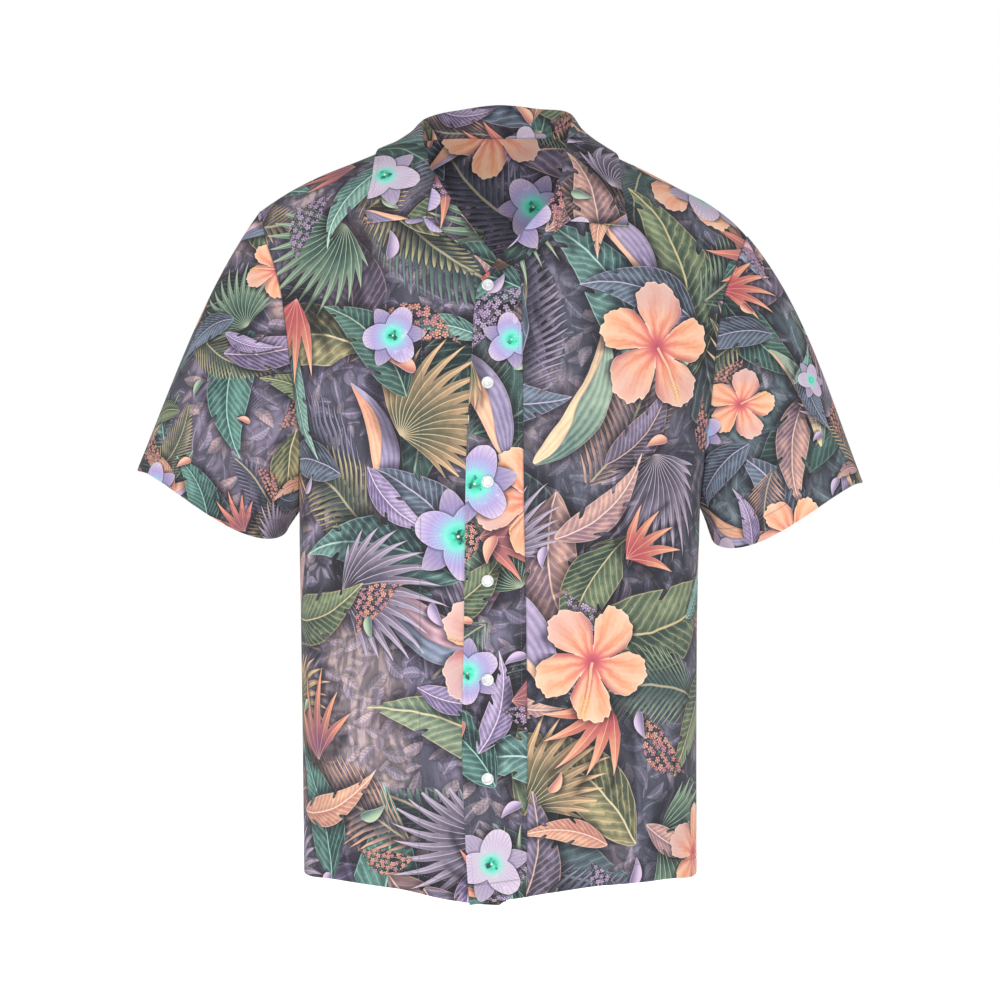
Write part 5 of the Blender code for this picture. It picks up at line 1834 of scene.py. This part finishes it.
x_ = across[across.shape[0] // 2] - across[across.shape[0] // 2, -1] / 2
guess_collar = np.stack([np.broadcast_to(x_, d.shape[:1] + x_.shape)[: 1].repeat(sheet_p.shape[0], 0), runs(sheet_p, 0)], -1)


def flatten_grid(shell, guess):
    """A shell's flat cut from a first guess at all its points."""

    def origin(net):
        rows = np.unique(np.round(np.linspace(0, shell.p.shape[0] - 1, 26)).astype(int))
        cols = np.unique(np.round(np.linspace(0, shell.p.shape[1] - 1, 18)).astype(int))
        return guess[np.ix_(rows, cols)]

    return flatten(shell.p, shell.k.astype(float), shell.r.astype(float), origin)


collar.flat = flatten_grid(collar, guess_collar)


# rows that carry each lapel on to where it ends: the right one slips under the left front
RIGHT_END = [(-0.0100, -0.1230, -0.0200, -0.1345), (0.0010, -0.1360, -0.0110, -0.1500)]
LEFT_END = [(-0.0178, -0.1530, -0.0168, -0.1548)]


def lapel(side, table, gorge, name):
    """A lapel: the front's edge rolls over along the V and lies back on the panel."""
    t = np.array(table)
    rows = 34
    roll, outer_edge = through(t[:, :2], rows), through(t[:, 2:], rows)
    along = np.linspace(0, 1, rows)
    if side < 0:
        height = LAY + (-0.0016 - LAY) * ease(0.60, 0.84, along)
    else:
        height = LAY + (0.0013 - LAY) * ease(0.86, 1.0, along)
    base = on_body(roll[:, 0], roll[:, 1])
    n = body_normal(roll[:, 0], roll[:, 1])
    way = unit(np.cross(n, np.gradient(base, axis=0)))
    way *= np.sign(way @ np.array([-side * 1.0, 0.0, 0.6]))[:, None]
    bulge = ROLL * ease(0.0, 0.12, along)
    if side < 0:
        drop = LAP_DROP * ease(0, 1, (roll[:, 0] + 0.060) / 0.026)
        bulge = bulge * (1 - ease(0.86, 0.96, along))
    else:
        drop = np.zeros(rows)
    start = base - way * bulge[:, None] + np.array([0.0, 1.0, 0.0]) * drop[:, None]
    turned = base - way * bulge[:, None] + n * height[:, None]
    a = np.linspace(0, math.pi, 10)[:, None, None]
    mid, arm = (start + turned) / 2, (start - turned) / 2
    arc = mid + arm * np.cos(a) + way * (np.sin(a) * bulge[:, None])
    s = lines_in(0, 1, 11)[1:][:, None, None]
    xz = roll * (1 - s) + outer_edge * s
    flat_n = body_normal(xz[..., 0], xz[..., 1])
    lie = on_body(xz[..., 0], xz[..., 1]) + flat_n * height[:, None]
    lie = lie - way * (bulge[:, None] * (1 - s))
    grid = np.concatenate([arc, lie]).swapaxes(0, 1)
    # the gorge seam: the first row meets the collar
    grid_run = runs(grid, 1)[0]
    strip = grid_run > grid_run[9]
    target = even(gorge, np.clip((grid_run - grid_run[9]) / (grid_run[-1] - grid_run[9]), 0, 1))
    fade = np.clip(1 - runs(grid, 0) / 0.012, 0, 1)[..., None] ** 2
    grid = grid + (target - grid[0])[None] * strip[None, :, None] * fade
    grid = fine_edges(grid, 0)
    n_grid = cross_grid(grid)
    n_grid = n_grid if n_grid[:, -6:, 1].sum() < 0 else -n_grid
    shell = Shell(
        name, grid, n_grid, np.arange(grid.shape[1], dtype=float), np.arange(grid.shape[0], dtype=float)
    )
    guess = np.stack([runs(grid, 1), -runs(grid, 0)], -1)
    if side < 0:
        guess[..., 0] *= -1
    shell.flat = flatten_grid(shell, guess)
    return shell, base, way, bulge


edge_rows = slice(None)
c_first = 2 * COLLAR_STEPS * TIMES
gorge_right = collar.p[0, : c_first + 4][::-1]
gorge_left = collar.p[0, -(c_first + 4) :]
lapel_right, roll_right, way_right, bulge_right = lapel(
    -1, LAPEL_RIGHT[:3] + RIGHT_END, gorge_right, "cloth_lapel_right"
)
lapel_left, roll_left, way_left, bulge_left = lapel(
    1, LAPEL_LEFT + LEFT_END, gorge_left, "cloth_lapel_left"
)


def retreat(shell, base, way, bulge, reach=0.010):
    """Draws a panel's neck edge back under the roll that covers it."""
    edge = shell.p[-1]
    gap = np.linalg.norm(edge[:, None] - base[None], axis=2)
    near = gap.argmin(axis=1)
    weight = (1 - ease(0.003, 0.009, gap.min(axis=1))) * bulge[near]
    fade = 1 - ease(0.0, reach, shell.top)
    shell.p = shell.p - (way[near] * weight[:, None])[None] * fade[..., None]


retreat(front_right, roll_right, way_right, bulge_right)
retreat(front_left, roll_left, way_left, bulge_left)
retreat(placket, roll_left, way_left, bulge_left)

# ================================================================ creases
# Each row is a soft fold on the flat cut: from, to, bend, width, height
front_right.crease(
    [
        # x0, y0, x1, y1, bend, width, height
        (-0.120, -0.020, -0.212, -0.150, 0.006, 0.014, 0.0010),
        (-0.196, -0.090, -0.176, -0.400, 0.012, 0.017, 0.0011),
        (-0.232, -0.300, -0.128, -0.262, -0.010, 0.012, 0.0013),
        (-0.214, -0.370, -0.186, -0.600, 0.007, 0.013, 0.0015),
        (-0.172, -0.470, -0.150, -0.722, 0.008, 0.018, 0.0014),
        (-0.104, -0.420, -0.112, -0.700, -0.007, 0.020, 0.0008),
        (-0.058, -0.560, -0.066, -0.728, 0.004, 0.015, 0.0007),
    ]
)
front_left.crease(
    [
        (0.122, -0.030, 0.214, -0.160, -0.006, 0.015, 0.0011),
        (0.206, -0.110, 0.170, -0.360, -0.010, 0.016, 0.0010),
        (0.232, -0.330, 0.142, -0.280, 0.012, 0.012, 0.0015),
        (0.205, -0.400, 0.178, -0.560, -0.006, 0.012, 0.0014),
        (0.186, -0.530, 0.176, -0.728, -0.006, 0.016, 0.0016),
        (0.118, -0.380, 0.104, -0.640, 0.009, 0.022, 0.0008),
        (0.066, -0.600, 0.074, -0.730, -0.003, 0.016, 0.0009),
    ]
)
back_panel.crease(
    [
        (-0.150, -0.060, -0.120, -0.500, 0.014, 0.022, 0.0021),
        (0.142, -0.080, 0.106, -0.440, -0.012, 0.020, 0.0023),
        (0.020, -0.160, -0.026, -0.640, 0.012, 0.028, 0.0017),
        (-0.236, -0.280, -0.132, -0.350, 0.010, 0.013, 0.0022),
        (0.238, -0.310, 0.150, -0.400, -0.012, 0.014, 0.0019),
        (-0.214, -0.400, -0.168, -0.610, 0.008, 0.014, 0.0022),
        (0.208, -0.430, 0.182, -0.690, -0.008, 0.017, 0.0020),
        (-0.090, -0.500, -0.102, -0.728, 0.006, 0.020, 0.0019),
        (0.072, -0.560, 0.060, -0.730, -0.005, 0.018, 0.0016),
        (0.150, -0.480, 0.136, -0.724, 0.006, 0.016, 0.0014),
    ]
)
sleeve_right.crease(
    [
        (0.148, -0.010, 0.092, -0.136, 0.008, 0.012, 0.0018),
        (0.190, -0.052, 0.150, -0.120, 0.005, 0.009, 0.0020),
        (-0.060, 0.040, -0.030, -0.130, 0.006, 0.014, 0.0008),
        (-0.136, -0.004, -0.104, -0.130, -0.006, 0.012, 0.0012),
        (-0.186, -0.046, -0.150, -0.112, -0.004, 0.009, 0.0014),
    ],
    ("bottom",),
    0.018,
)
sleeve_left.crease(
    [
        (-0.142, -0.014, -0.100, -0.140, -0.007, 0.012, 0.0012),
        (-0.186, -0.058, -0.146, -0.124, -0.005, 0.009, 0.0013),
        (0.052, 0.030, 0.034, -0.128, -0.006, 0.015, 0.0008),
        (0.140, 0.000, 0.098, -0.136, 0.007, 0.013, 0.0019),
        (0.192, -0.050, 0.160, -0.118, 0.004, 0.009, 0.0020),
    ],
    ("bottom",),
    0.018,
)

# ================================================================ seams and hems
for shell in (front_right, front_left, back_panel):
    shell.seam("last")
    shell.edge("bottom", reach=HEM_DEPTH)
front_left.seam("first")
back_panel.seam("first", "top")
placket.seam("first")
placket.edge("last", thick=0.0016, reach=0.0075)
placket.edge("bottom", reach=HEM_DEPTH)
placket.edge("top", thick=0.0016)
for shell in (sleeve_right, sleeve_left):
    shell.seam("first", "last")
    shell.edge("top", reach=CUFF_DEPTH)
collar.edge("first", "last", "top", thick=0.0016)
for shell in (lapel_right, lapel_left):
    shell.edge("last", "top", thick=0.0014)
    shell.seam("bottom")


def shoulder(shell, front=True):
    """Dips the outside along the shoulder seam only, not along the neck."""
    on = shell.k >= NECK_COLS if front else np.ones(len(shell.k), bool)
    shell.out -= 0.0004 * np.exp(-((shell.top / 0.0011) ** 2)) * on


shoulder(front_right)
shoulder(front_left)


def edge_marks(shell, rows=(), seams=(), line=None):
    """What the cloth's surface needs to know about its edges: distance to the nearest row of
    stitches, place along it, and distance to the nearest seam."""
    stitch = np.full(shell.p.shape[:2], 0.05)
    along = np.zeros(shell.p.shape[:2])
    for side, distance in rows:
        off = getattr(shell, side) - distance
        run = shell.first if side in ("bottom", "top") else shell.bottom
        near = np.abs(off) < np.abs(stitch)
        stitch, along = np.where(near, off, stitch), np.where(near, run, along)
    if line is not None:
        near = np.abs(line) < np.abs(stitch)
        stitch, along = np.where(near, line, stitch), np.where(near, shell.bottom, along)
    seam = np.full(shell.p.shape[:2], 0.05)
    for side in seams:
        seam = np.minimum(seam, getattr(shell, side))
    values = np.stack([stitch, along, seam, np.zeros_like(seam)], -1)
    return ("edge", values.reshape(-1, 4))


# the facing's inner edge is caught down along the right front
facing = front_right.p[..., 0] - (-0.0757 + 0.0045 * (front_right.p[..., 2] - HEM_Z))
facing = np.where(front_right.p[..., 2] < -0.140, facing, 0.05)

HEM_ROW, CUFF_ROW, EDGE_ROW = HEM_DEPTH - 0.0014, CUFF_DEPTH - 0.0014, 0.0052

# ================================================================ the print, panel by panel


def motifs(shell, seed, plan, counts, scale=1.0):
    flat = shell.flat.reshape(-1, 2)
    low_, high_ = flat.min(0), flat.max(0)
    own = np.random.default_rng(seed)
    found = []
    for name, (count, sizes, apart, turn_) in plan.items():
        sizes = (sizes[0] * scale, sizes[1] * scale)
        places = scattered(own, low_, high_, counts.get(name, count), sizes, apart)
        found.append(("m_" + name, placed(shell.flat, places, own, turn_)))
    return found


BODY_PLAN = {
    # layer: how many are tried, sizes, spacing, direction
    "broad": (30, (0.066, 0.120), 1.0, None),
    "fern": (44, (0.060, 0.115), 1.0, None),
    "leaf": (44, (0.056, 0.104), 1.0, None),
    "fern2": (26, (0.056, 0.096), 1.0, None),
    "leaf2": (36, (0.050, 0.092), 1.0, None),
    "strap": (6, (0.062, 0.094), 1.15, None),
    "blade": (9, (0.052, 0.082), 1.15, None),
    "leaf4": (16, (0.046, 0.072), 1.10, None),
    "leaf3": (12, (0.036, 0.060), 1.30, None),
    "spike": (4, (0.046, 0.062), 1.5, None),
    "sprig": (6, (0.032, 0.048), 1.6, None),
    "bud": (12, (0.010, 0.016), 2.6, None),
    "blossom": (4, (0.056, 0.068), 1.30, None),
    "star": (4, (0.032, 0.046), 1.9, None),
}
FEW = {"blossom": 1, "leaf3": 12, "spike": 4, "blade": 14, "leaf": 60, "fern2": 44, "leaf2": 60, "leaf4": 30, "strap": 2}
MANY = {"blossom": 6, "star": 3}
LAYERS = list(BODY_PLAN)

DUSK = ("50505E", "7E7690", "B5A7C4", "DCBFB9")
NIGHT = ("454956", "666A7A", "9A95AC", "BCA8B0")
LILAC = ("4C4856", "847A90", "B4A5BE", "DDB8AC")
TEAL = ("3C4C52", "647A7E", "939CA4", "B5A6B6")

shells = [front_right, front_left, back_panel, placket, sleeve_right, sleeve_left, collar, lapel_right, lapel_left]
looks = {
    # node: shell, seed, tones, scale, stitch rows, seams, own counts
    "front_right": (front_right, 11, DUSK, 1.0, [("bottom", HEM_ROW)], ["last"], FEW),
    "front_left": (front_left, 23, NIGHT, 1.0, [("bottom", HEM_ROW)], ["first", "last"], MANY),
    "back": (back_panel, 37, DUSK, 1.0, [("bottom", HEM_ROW)], ["first", "last"], {"blossom": 5, "star": 6}),
    "placket": (placket, 41, DUSK, 0.9, [("bottom", HEM_ROW)], ["first"], {"blossom": 1}),
    "sleeve_right": (sleeve_right, 53, LILAC, 0.62, [("top", CUFF_ROW)], ["first", "last", "bottom"], {"blossom": 2}),
    "sleeve_left": (sleeve_left, 61, TEAL, 0.62, [("top", CUFF_ROW)], ["first", "last", "bottom"], {"star": 6, "blossom": 6}),
    "collar": (collar, 71, LILAC, 0.8, [], ["bottom"], {"blossom": 0, "star": 7, "leaf3": 20}),
    "lapel_right": (lapel_right, 83, DUSK, 0.9, [], ["bottom"], {"blossom": 0}),
    "lapel_left": (lapel_left, 97, DUSK, 0.9, [], ["bottom"], {"blossom": 0}),
}
print_nodes = print_group(LAYERS)
for node, (shell, seed, tones, scale, rows, seams, counts) in looks.items():
    layers = motifs(shell, seed, BODY_PLAN, counts, scale)
    layers.append(edge_marks(shell, rows, seams, facing if node == "front_right" else None))
    cloth = print_material("print_" + node, tones, print_nodes)
    piece = shell.build(cloth, layers, node)
    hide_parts(node)

# ================================================================ stitches


def plain(name, colour, rough, grain=0.0, grain_scale=900.0, **sockets):
    """Unprinted material with a slight mottling of its own."""
    material = bpy.data.materials.new(name)
    material.use_nodes = True
    shader = material.node_tree.nodes["Principled BSDF"]
    t = Tree(material.node_tree)
    place = t.node("ShaderNodeTexCoord")
    spots = t.node("ShaderNodeTexNoise", noise_dimensions="3D")
    t.tree.links.new(place.outputs["Object"], spots.inputs["Vector"])
    spots.inputs["Scale"].default_value = grain_scale
    spots.inputs["Detail"].default_value = 3.0
    value = Wire(t, spots.outputs[0])
    t.put(shader.inputs["Base Color"], t.mix(t.step(0.3, 0.7, value), colour[0], colour[1]))
    t.put(shader.inputs["Roughness"], t.mad(value, 0.12, rough - 0.06))
    if grain:
        bump = t.node("ShaderNodeBump")
        t.put(bump.inputs["Height"], value)
        bump.inputs["Strength"].default_value = 0.4
        bump.inputs["Distance"].default_value = grain
        t.tree.links.new(bump.outputs[0], shader.inputs["Normal"])
    for socket, number in sockets.items():
        shader.inputs[socket.replace("_", " ")].default_value = number
    return material


thread = plain("thread", ("7A7480", "958E98"), 0.62, 0.00004, 2600.0)
white_thread = plain("button_thread", ("E9E9E6", "F7F7F5"), 0.6, 0.00004, 2600.0)


def stitch_mesh(name, lines, pitch=0.0032, length=0.0022, radius=0.00015, lift=0.00003):
    """Rows of stitches as one mesh: small bowed threads along lines of (points, normals)."""
    verts, faces = [], []
    ring = np.linspace(0, 2 * math.pi, 5, endpoint=False)
    t = np.linspace(-1, 1, 6)
    rise = (1 - t**2) * 0.00016 - 0.00008 + lift
    thick = radius * np.sqrt(np.clip(1 - t**4, 0.03, 1))
    for points, ways in lines:
        run = np.r_[0, np.cumsum(np.linalg.norm(np.diff(points, axis=0), axis=1))]
        at = np.arange(pitch / 2, run[-1] - pitch / 2, pitch)
        if not len(at):
            continue

        def read(values, where, run=run):
            return np.stack([np.interp(where, run, values[:, a]) for a in range(3)], -1)

        where = at[:, None] + t[None] * length / 2
        centre = read(points, where)
        normal = unit(read(ways, where))
        along = unit(read(points, at + length / 2) - read(points, at - length / 2))[:, None]
        across_ = unit(np.cross(along, normal))
        centre = centre + normal * rise[None, :, None]
        tube = centre[:, :, None] + thick[None, :, None, None] * (
            across_[:, :, None] * np.cos(ring)[None, None, :, None]
            + normal[:, :, None] * np.sin(ring)[None, None, :, None]
        )
        start = sum(len(v) for v in verts)
        verts.append(tube.reshape(-1, 3))
        s = np.arange(len(at))[:, None, None] * 30
        i = np.arange(5)[None, :, None] * 5
        j = np.arange(5)[None, None, :]
        j1 = (j + 1) % 5
        quads = np.stack([s + i + j, s + i + j1, s + i + 5 + j1, s + i + 5 + j], -1).reshape(-1, 4)
        faces.extend((quads[:, ::-1] + start).tolist())
        for k in range(len(at)):
            b = start + k * 30
            faces.append([b, b + 1, b + 2, b + 3, b + 4])
            faces.append([b + 29, b + 28, b + 27, b + 26, b + 25])
    mesh = bpy.data.meshes.new(name)
    mesh.from_pydata(np.concatenate(verts).tolist(), [], faces)
    mesh.validate()
    mesh.shade_smooth()
    mesh.materials.append(thread)
    obj = bpy.data.objects.new(name, mesh)
    bpy.context.scene.collection.objects.link(obj)
    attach(obj, "root")
    return obj


def part_of(line, keep):
    return line[0][keep], line[1][keep]


facing_line = [[], []]
for r_ in range(front_right.p.shape[0]):
    off = facing[r_]
    if np.abs(off).min() > 0.01:
        continue
    order = np.argsort(off)
    skin = (front_right.p + front_right.n * front_right.out[..., None])[r_]
    facing_line[0].append([np.interp(0, off[order], skin[order, a]) for a in range(3)])
    facing_line[1].append([np.interp(0, off[order], front_right.n[r_][order, a]) for a in range(3)])
facing_line = (np.array(facing_line[0]), np.array(facing_line[1]))

for node, lines in {
    "front_right": [front_right.at("bottom", HEM_ROW), facing_line],
    "front_left": [front_left.at("bottom", HEM_ROW)],
    "back": [back_panel.at("bottom", HEM_ROW)],
    "placket": [placket.at("bottom", HEM_ROW), placket.at("last", EDGE_ROW), placket.at("first", EDGE_ROW)],
    "sleeve_right": [sleeve_right.at("top", CUFF_ROW)],
    "sleeve_left": [sleeve_left.at("top", CUFF_ROW)],
    "collar": [collar.at("top", EDGE_ROW)],
    "lapel_right": [lapel_right.at("last", EDGE_ROW)],
    "lapel_left": [lapel_left.at("last", EDGE_ROW)],
}.items():
    piece = stitch_mesh("stitches_" + node, lines)

# ================================================================ buttons


def lathe(profile, sides):
    """Vertices and faces of a turned form; profile rows are (radius, height)."""
    turn_ = np.linspace(0, 2 * math.pi, sides, endpoint=False)
    verts = [(0.0, 0.0, profile[0][1])]
    for radius, height in profile[1:-1]:
        verts.extend((radius * math.cos(a), radius * math.sin(a), height) for a in turn_)
    verts.append((0.0, 0.0, profile[-1][1]))
    rings = len(profile) - 2
    faces = [(0, 1 + k, 1 + (k + 1) % sides) for k in range(sides)]
    for i in range(rings - 1):
        a = 1 + i * sides
        faces.extend(
            (a + k, a + sides + k, a + sides + (k + 1) % sides, a + (k + 1) % sides)
            for k in range(sides)
        )
    a, last = 1 + (rings - 1) * sides, len(verts) - 1
    faces.extend((a + (k + 1) % sides, a + k, last) for k in range(sides))
    return verts, faces


def button_mesh(material):
    """Four-hole shirt button with a raised rim, a dished face and thread through its holes."""
    r = BUTTON_DIAMETER / 2
    dish = [(s * 0.60 * r, 0.00112 + 0.00012 * s**2) for s in (0.12, 0.3, 0.5, 0.7, 0.85, 1.0)]
    rim = [
        (r * (0.815 + 0.185 * math.cos(a)), 0.00142 + 0.00090 * max(math.sin(a), 0) - 0.0006 * max(-math.sin(a), 0))
        for a in np.linspace(math.pi, -math.pi / 2, 17)
    ]
    profile = [(0, 0.00112), *dish, *rim[1:], (0.80 * r, 0.00030), (0.6 * r, 0.00012), (0, 0.00012)]
    verts, faces = lathe(profile, 64)
    mesh = bpy.data.meshes.new("button_body")
    mesh.from_pydata(verts, [], faces)
    body_obj = bpy.data.objects.new("button_body", mesh)
    bpy.context.scene.collection.objects.link(body_obj)
    cutters = []
    for k in range(4):
        a = math.pi / 4 + k * math.pi / 2
        x, y = 0.00135 * math.cos(a), 0.00135 * math.sin(a)
        hole, hole_faces = lathe(
            [(0, -0.001), (0.00055, -0.001), (0.00055, 0.00122), (0.00085, 0.0020), (0, 0.0020)], 20
        )
        cut_mesh = bpy.data.meshes.new("hole")
        cut_mesh.from_pydata([(vx + x, vy + y, vz) for vx, vy, vz in hole], [], hole_faces)
        cutter = bpy.data.objects.new("hole", cut_mesh)
        bpy.context.scene.collection.objects.link(cutter)
        cutters.append(cutter)
        modifier = body_obj.modifiers.new("hole", "BOOLEAN")
        modifier.operation, modifier.object, modifier.solver = "DIFFERENCE", cutter, "EXACT"
    graph = bpy.context.evaluated_depsgraph_get()
    drilled = bpy.data.meshes.new_from_object(body_obj.evaluated_get(graph))
    for obj in (body_obj, *cutters):
        bpy.data.objects.remove(obj)
    drilled.materials.clear()
    drilled.materials.append(material)
    drilled.materials.append(white_thread)
    # thread: two crossing bundles of three strands
    more, more_faces = [], []
    base = len(drilled.vertices)
    for turn_ in (math.pi / 4, -math.pi / 4):
        for strand in (-1, 0, 1):
            line = []
            for s in np.linspace(-1, 1, 9):
                off = strand * 0.00022 * (1 - 0.45 * abs(s))
                height = 0.00134 + 0.00012 * (turn_ < 0) - 0.0012 * max(abs(s) - 0.62, 0) * 2.6
                x, y = s * 0.00150, off
                line.append(
                    (
                        x * math.cos(turn_) - y * math.sin(turn_),
                        x * math.sin(turn_) + y * math.cos(turn_),
                        height + 0.00005 * (strand == 0),
                    )
                )
            line = np.array(line)
            tangent = unit(np.gradient(line, axis=0))
            side_ = unit(np.cross(tangent, [0, 0, 1.0]))
            up_ = np.cross(side_, tangent)
            start = base + len(more)
            for p_, s_, u_ in zip(line, side_, up_, strict=True):
                for a in np.linspace(0, 2 * math.pi, 6, endpoint=False):
                    more.append(p_ + 0.00013 * (s_ * math.cos(a) + u_ * math.sin(a)))
            for i in range(8):
                for j in range(6):
                    a, b = start + i * 6 + j, start + i * 6 + (j + 1) % 6
                    more_faces.append((a, b, b + 6, a + 6))
    verts = [tuple(v.co) for v in drilled.vertices] + [tuple(map(float, v)) for v in more]
    faces = [tuple(f.vertices) for f in drilled.polygons] + more_faces
    whole = bpy.data.meshes.new("button")
    whole.from_pydata(verts, [], faces)
    whole.materials.append(material)
    whole.materials.append(white_thread)
    index = np.zeros(len(faces), np.int32)
    index[len(drilled.polygons) :] = 1
    whole.polygons.foreach_set("material_index", index)
    whole.shade_smooth()
    whole.set_sharp_from_angle(angle=math.radians(38))
    bpy.data.meshes.remove(drilled)
    return whole


def pearl():
    """White moulded button with a faint grey swirl under a polish."""
    material = bpy.data.materials.new("button_white")
    material.use_nodes = True
    shader = material.node_tree.nodes["Principled BSDF"]
    t = Tree(material.node_tree)
    place = t.node("ShaderNodeTexCoord")
    spots = t.node("ShaderNodeTexNoise", noise_dimensions="3D")
    t.tree.links.new(place.outputs["Object"], spots.inputs["Vector"])
    spots.inputs["Scale"].default_value = 240.0
    spots.inputs["Detail"].default_value = 3.0
    spots.inputs["Distortion"].default_value = 1.4
    value = Wire(t, spots.outputs[0])
    t.put(shader.inputs["Base Color"], t.mix(t.step(0.42, 0.66, value), "DDDDDC", "BFBFC3"))
    t.put(shader.inputs["Roughness"], t.mad(value, 0.10, 0.22))
    shader.inputs["Specular IOR Level"].default_value = 0.5
    shader.inputs["Coat Weight"].default_value = 0.10
    shader.inputs["Coat Roughness"].default_value = 0.12
    return material


def rotation_to(n):
    z = unit(np.asarray(n, float))
    x = unit(np.cross([0.0, 0.0, 1.0], z))
    return np.stack([x, np.cross(z, x), z], 1)


template = button_mesh(pearl())
for k in range(BUTTON_COUNT):
    z = BUTTON_TOP_Z - k * BUTTON_PITCH
    base = on_body(BUTTON_X, z)
    n = body_normal(BUTTON_X, z)
    turn_ = rotation_to(n)
    twist = (0.12, -0.3, 0.5, 0.05, -0.45, 0.28)[k]
    c_, s_ = math.cos(twist), math.sin(twist)
    turn_ = turn_ @ np.array([[c_, -s_, 0], [s_, c_, 0], [0, 0, 1.0]])
    mesh = template.copy()
    co = np.empty(len(mesh.vertices) * 3, np.float32)
    mesh.vertices.foreach_get("co", co)
    co = co.reshape(-1, 3) @ turn_.T + (base + n * (CLOTH / 2 + 0.0002))
    mesh.vertices.foreach_set("co", co.astype(np.float32).ravel())
    mesh.update()
    obj = bpy.data.objects.new(f"shirt_button_{k + 1}", mesh)
    bpy.context.scene.collection.objects.link(obj)
    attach(obj, "root")
    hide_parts(f"button_{k + 1}")
bpy.data.meshes.remove(template)

# ================================================================ flat area of each cut


def declare(shell):
    """Works out the area of a piece's flat cut, which is then not kept or used."""
    flat = shell.flat
    a = flat[:-1, :-1] - flat[1:, 1:]
    b = flat[:-1, 1:] - flat[1:, :-1]
    area = float(np.abs(a[..., 0] * b[..., 1] - a[..., 1] * b[..., 0]).sum() / 2)


declare(front_right)
declare(front_left)
declare(back_panel)
declare(placket)
declare(sleeve_right)
declare(sleeve_left)
declare(collar)
declare(lapel_right)
declare(lapel_left)

# ================================================================ studio


def stage_material(name, colour, glow):
    material = bpy.data.materials.new(name)
    material.use_nodes = True
    shader = material.node_tree.nodes["Principled BSDF"]
    shader.inputs["Base Color"].default_value = srgb(colour)
    shader.inputs["Roughness"].default_value = 0.95
    shader.inputs["Specular IOR Level"].default_value = 0.0
    shader.inputs["Emission Color"].default_value = (1, 1, 1, 1)
    shader.inputs["Emission Strength"].default_value = glow
    return material


floor_mesh = bpy.data.meshes.new("floor")
F = 30.0
floor_mesh.from_pydata([(-F, -F, 0), (F, -F, 0), (F, F, 0), (-F, F, 0)], [], [(0, 1, 2, 3)])
floor_mesh.materials.append(stage_material("floor", "FAFAFA", 0.62))
floor = bpy.data.objects.new("floor", floor_mesh)
floor.location = (0, 0, -1.10)
bpy.context.scene.collection.objects.link(floor)

scene = bpy.context.scene
world = bpy.data.worlds.new("studio")
world.use_nodes = True
sky = world.node_tree.nodes["Background"]
sky.inputs[0].default_value = (1.0, 1.0, 1.0, 1)
eye_ray = world.node_tree.nodes.new("ShaderNodeLightPath")
glow = world.node_tree.nodes.new("ShaderNodeMapRange")
world.node_tree.links.new(eye_ray.outputs["Is Camera Ray"], glow.inputs["Value"])
glow.inputs["To Min"].default_value = 0.44
glow.inputs["To Max"].default_value = 1.0
world.node_tree.links.new(glow.outputs["Result"], sky.inputs[1])
scene.world = world
scene.view_settings.view_transform = "Standard"
scene.view_settings.look = "None"


def area_light(name, spot, aim, size, watts, colour=(1, 1, 1)):
    lamp = bpy.data.lights.new(name, "AREA")
    lamp.shape, lamp.size, lamp.energy, lamp.color = "DISK", size, watts, colour
    obj = bpy.data.objects.new(name, lamp)
    obj.location = spot
    obj.rotation_euler = (Vector(aim) - Vector(spot)).to_track_quat("-Z", "Y").to_euler()
    scene.collection.objects.link(obj)


area_light("key", (-1.1, -2.7, 0.6), (0, 0, -0.36), 1.4, 19)
area_light("front", (0.10, -2.3, -0.25), (0, 0, -0.30), 0.8, 15)
area_light("side_right", (-2.3, -0.7, 0.2), (0, 0, -0.36), 1.4, 6.5)
area_light("side_left", (2.3, -0.7, 0.2), (0, 0, -0.36), 1.4, 6.5)
area_light("rear", (0.3, 2.4, 0.3), (0, 0, -0.36), 1.4, 13)

camera = bpy.data.cameras.new("camera")
camera.lens, camera.sensor_width, camera.sensor_fit = 72.0, 36.0, "HORIZONTAL"
camera.clip_start, camera.clip_end = 0.05, 60
eye = bpy.data.objects.new("camera", camera)
eye.location, eye.rotation_euler = (0.0, -2.0, -0.36), (math.pi / 2, 0, 0)
scene.collection.objects.link(eye)
scene.camera = eye
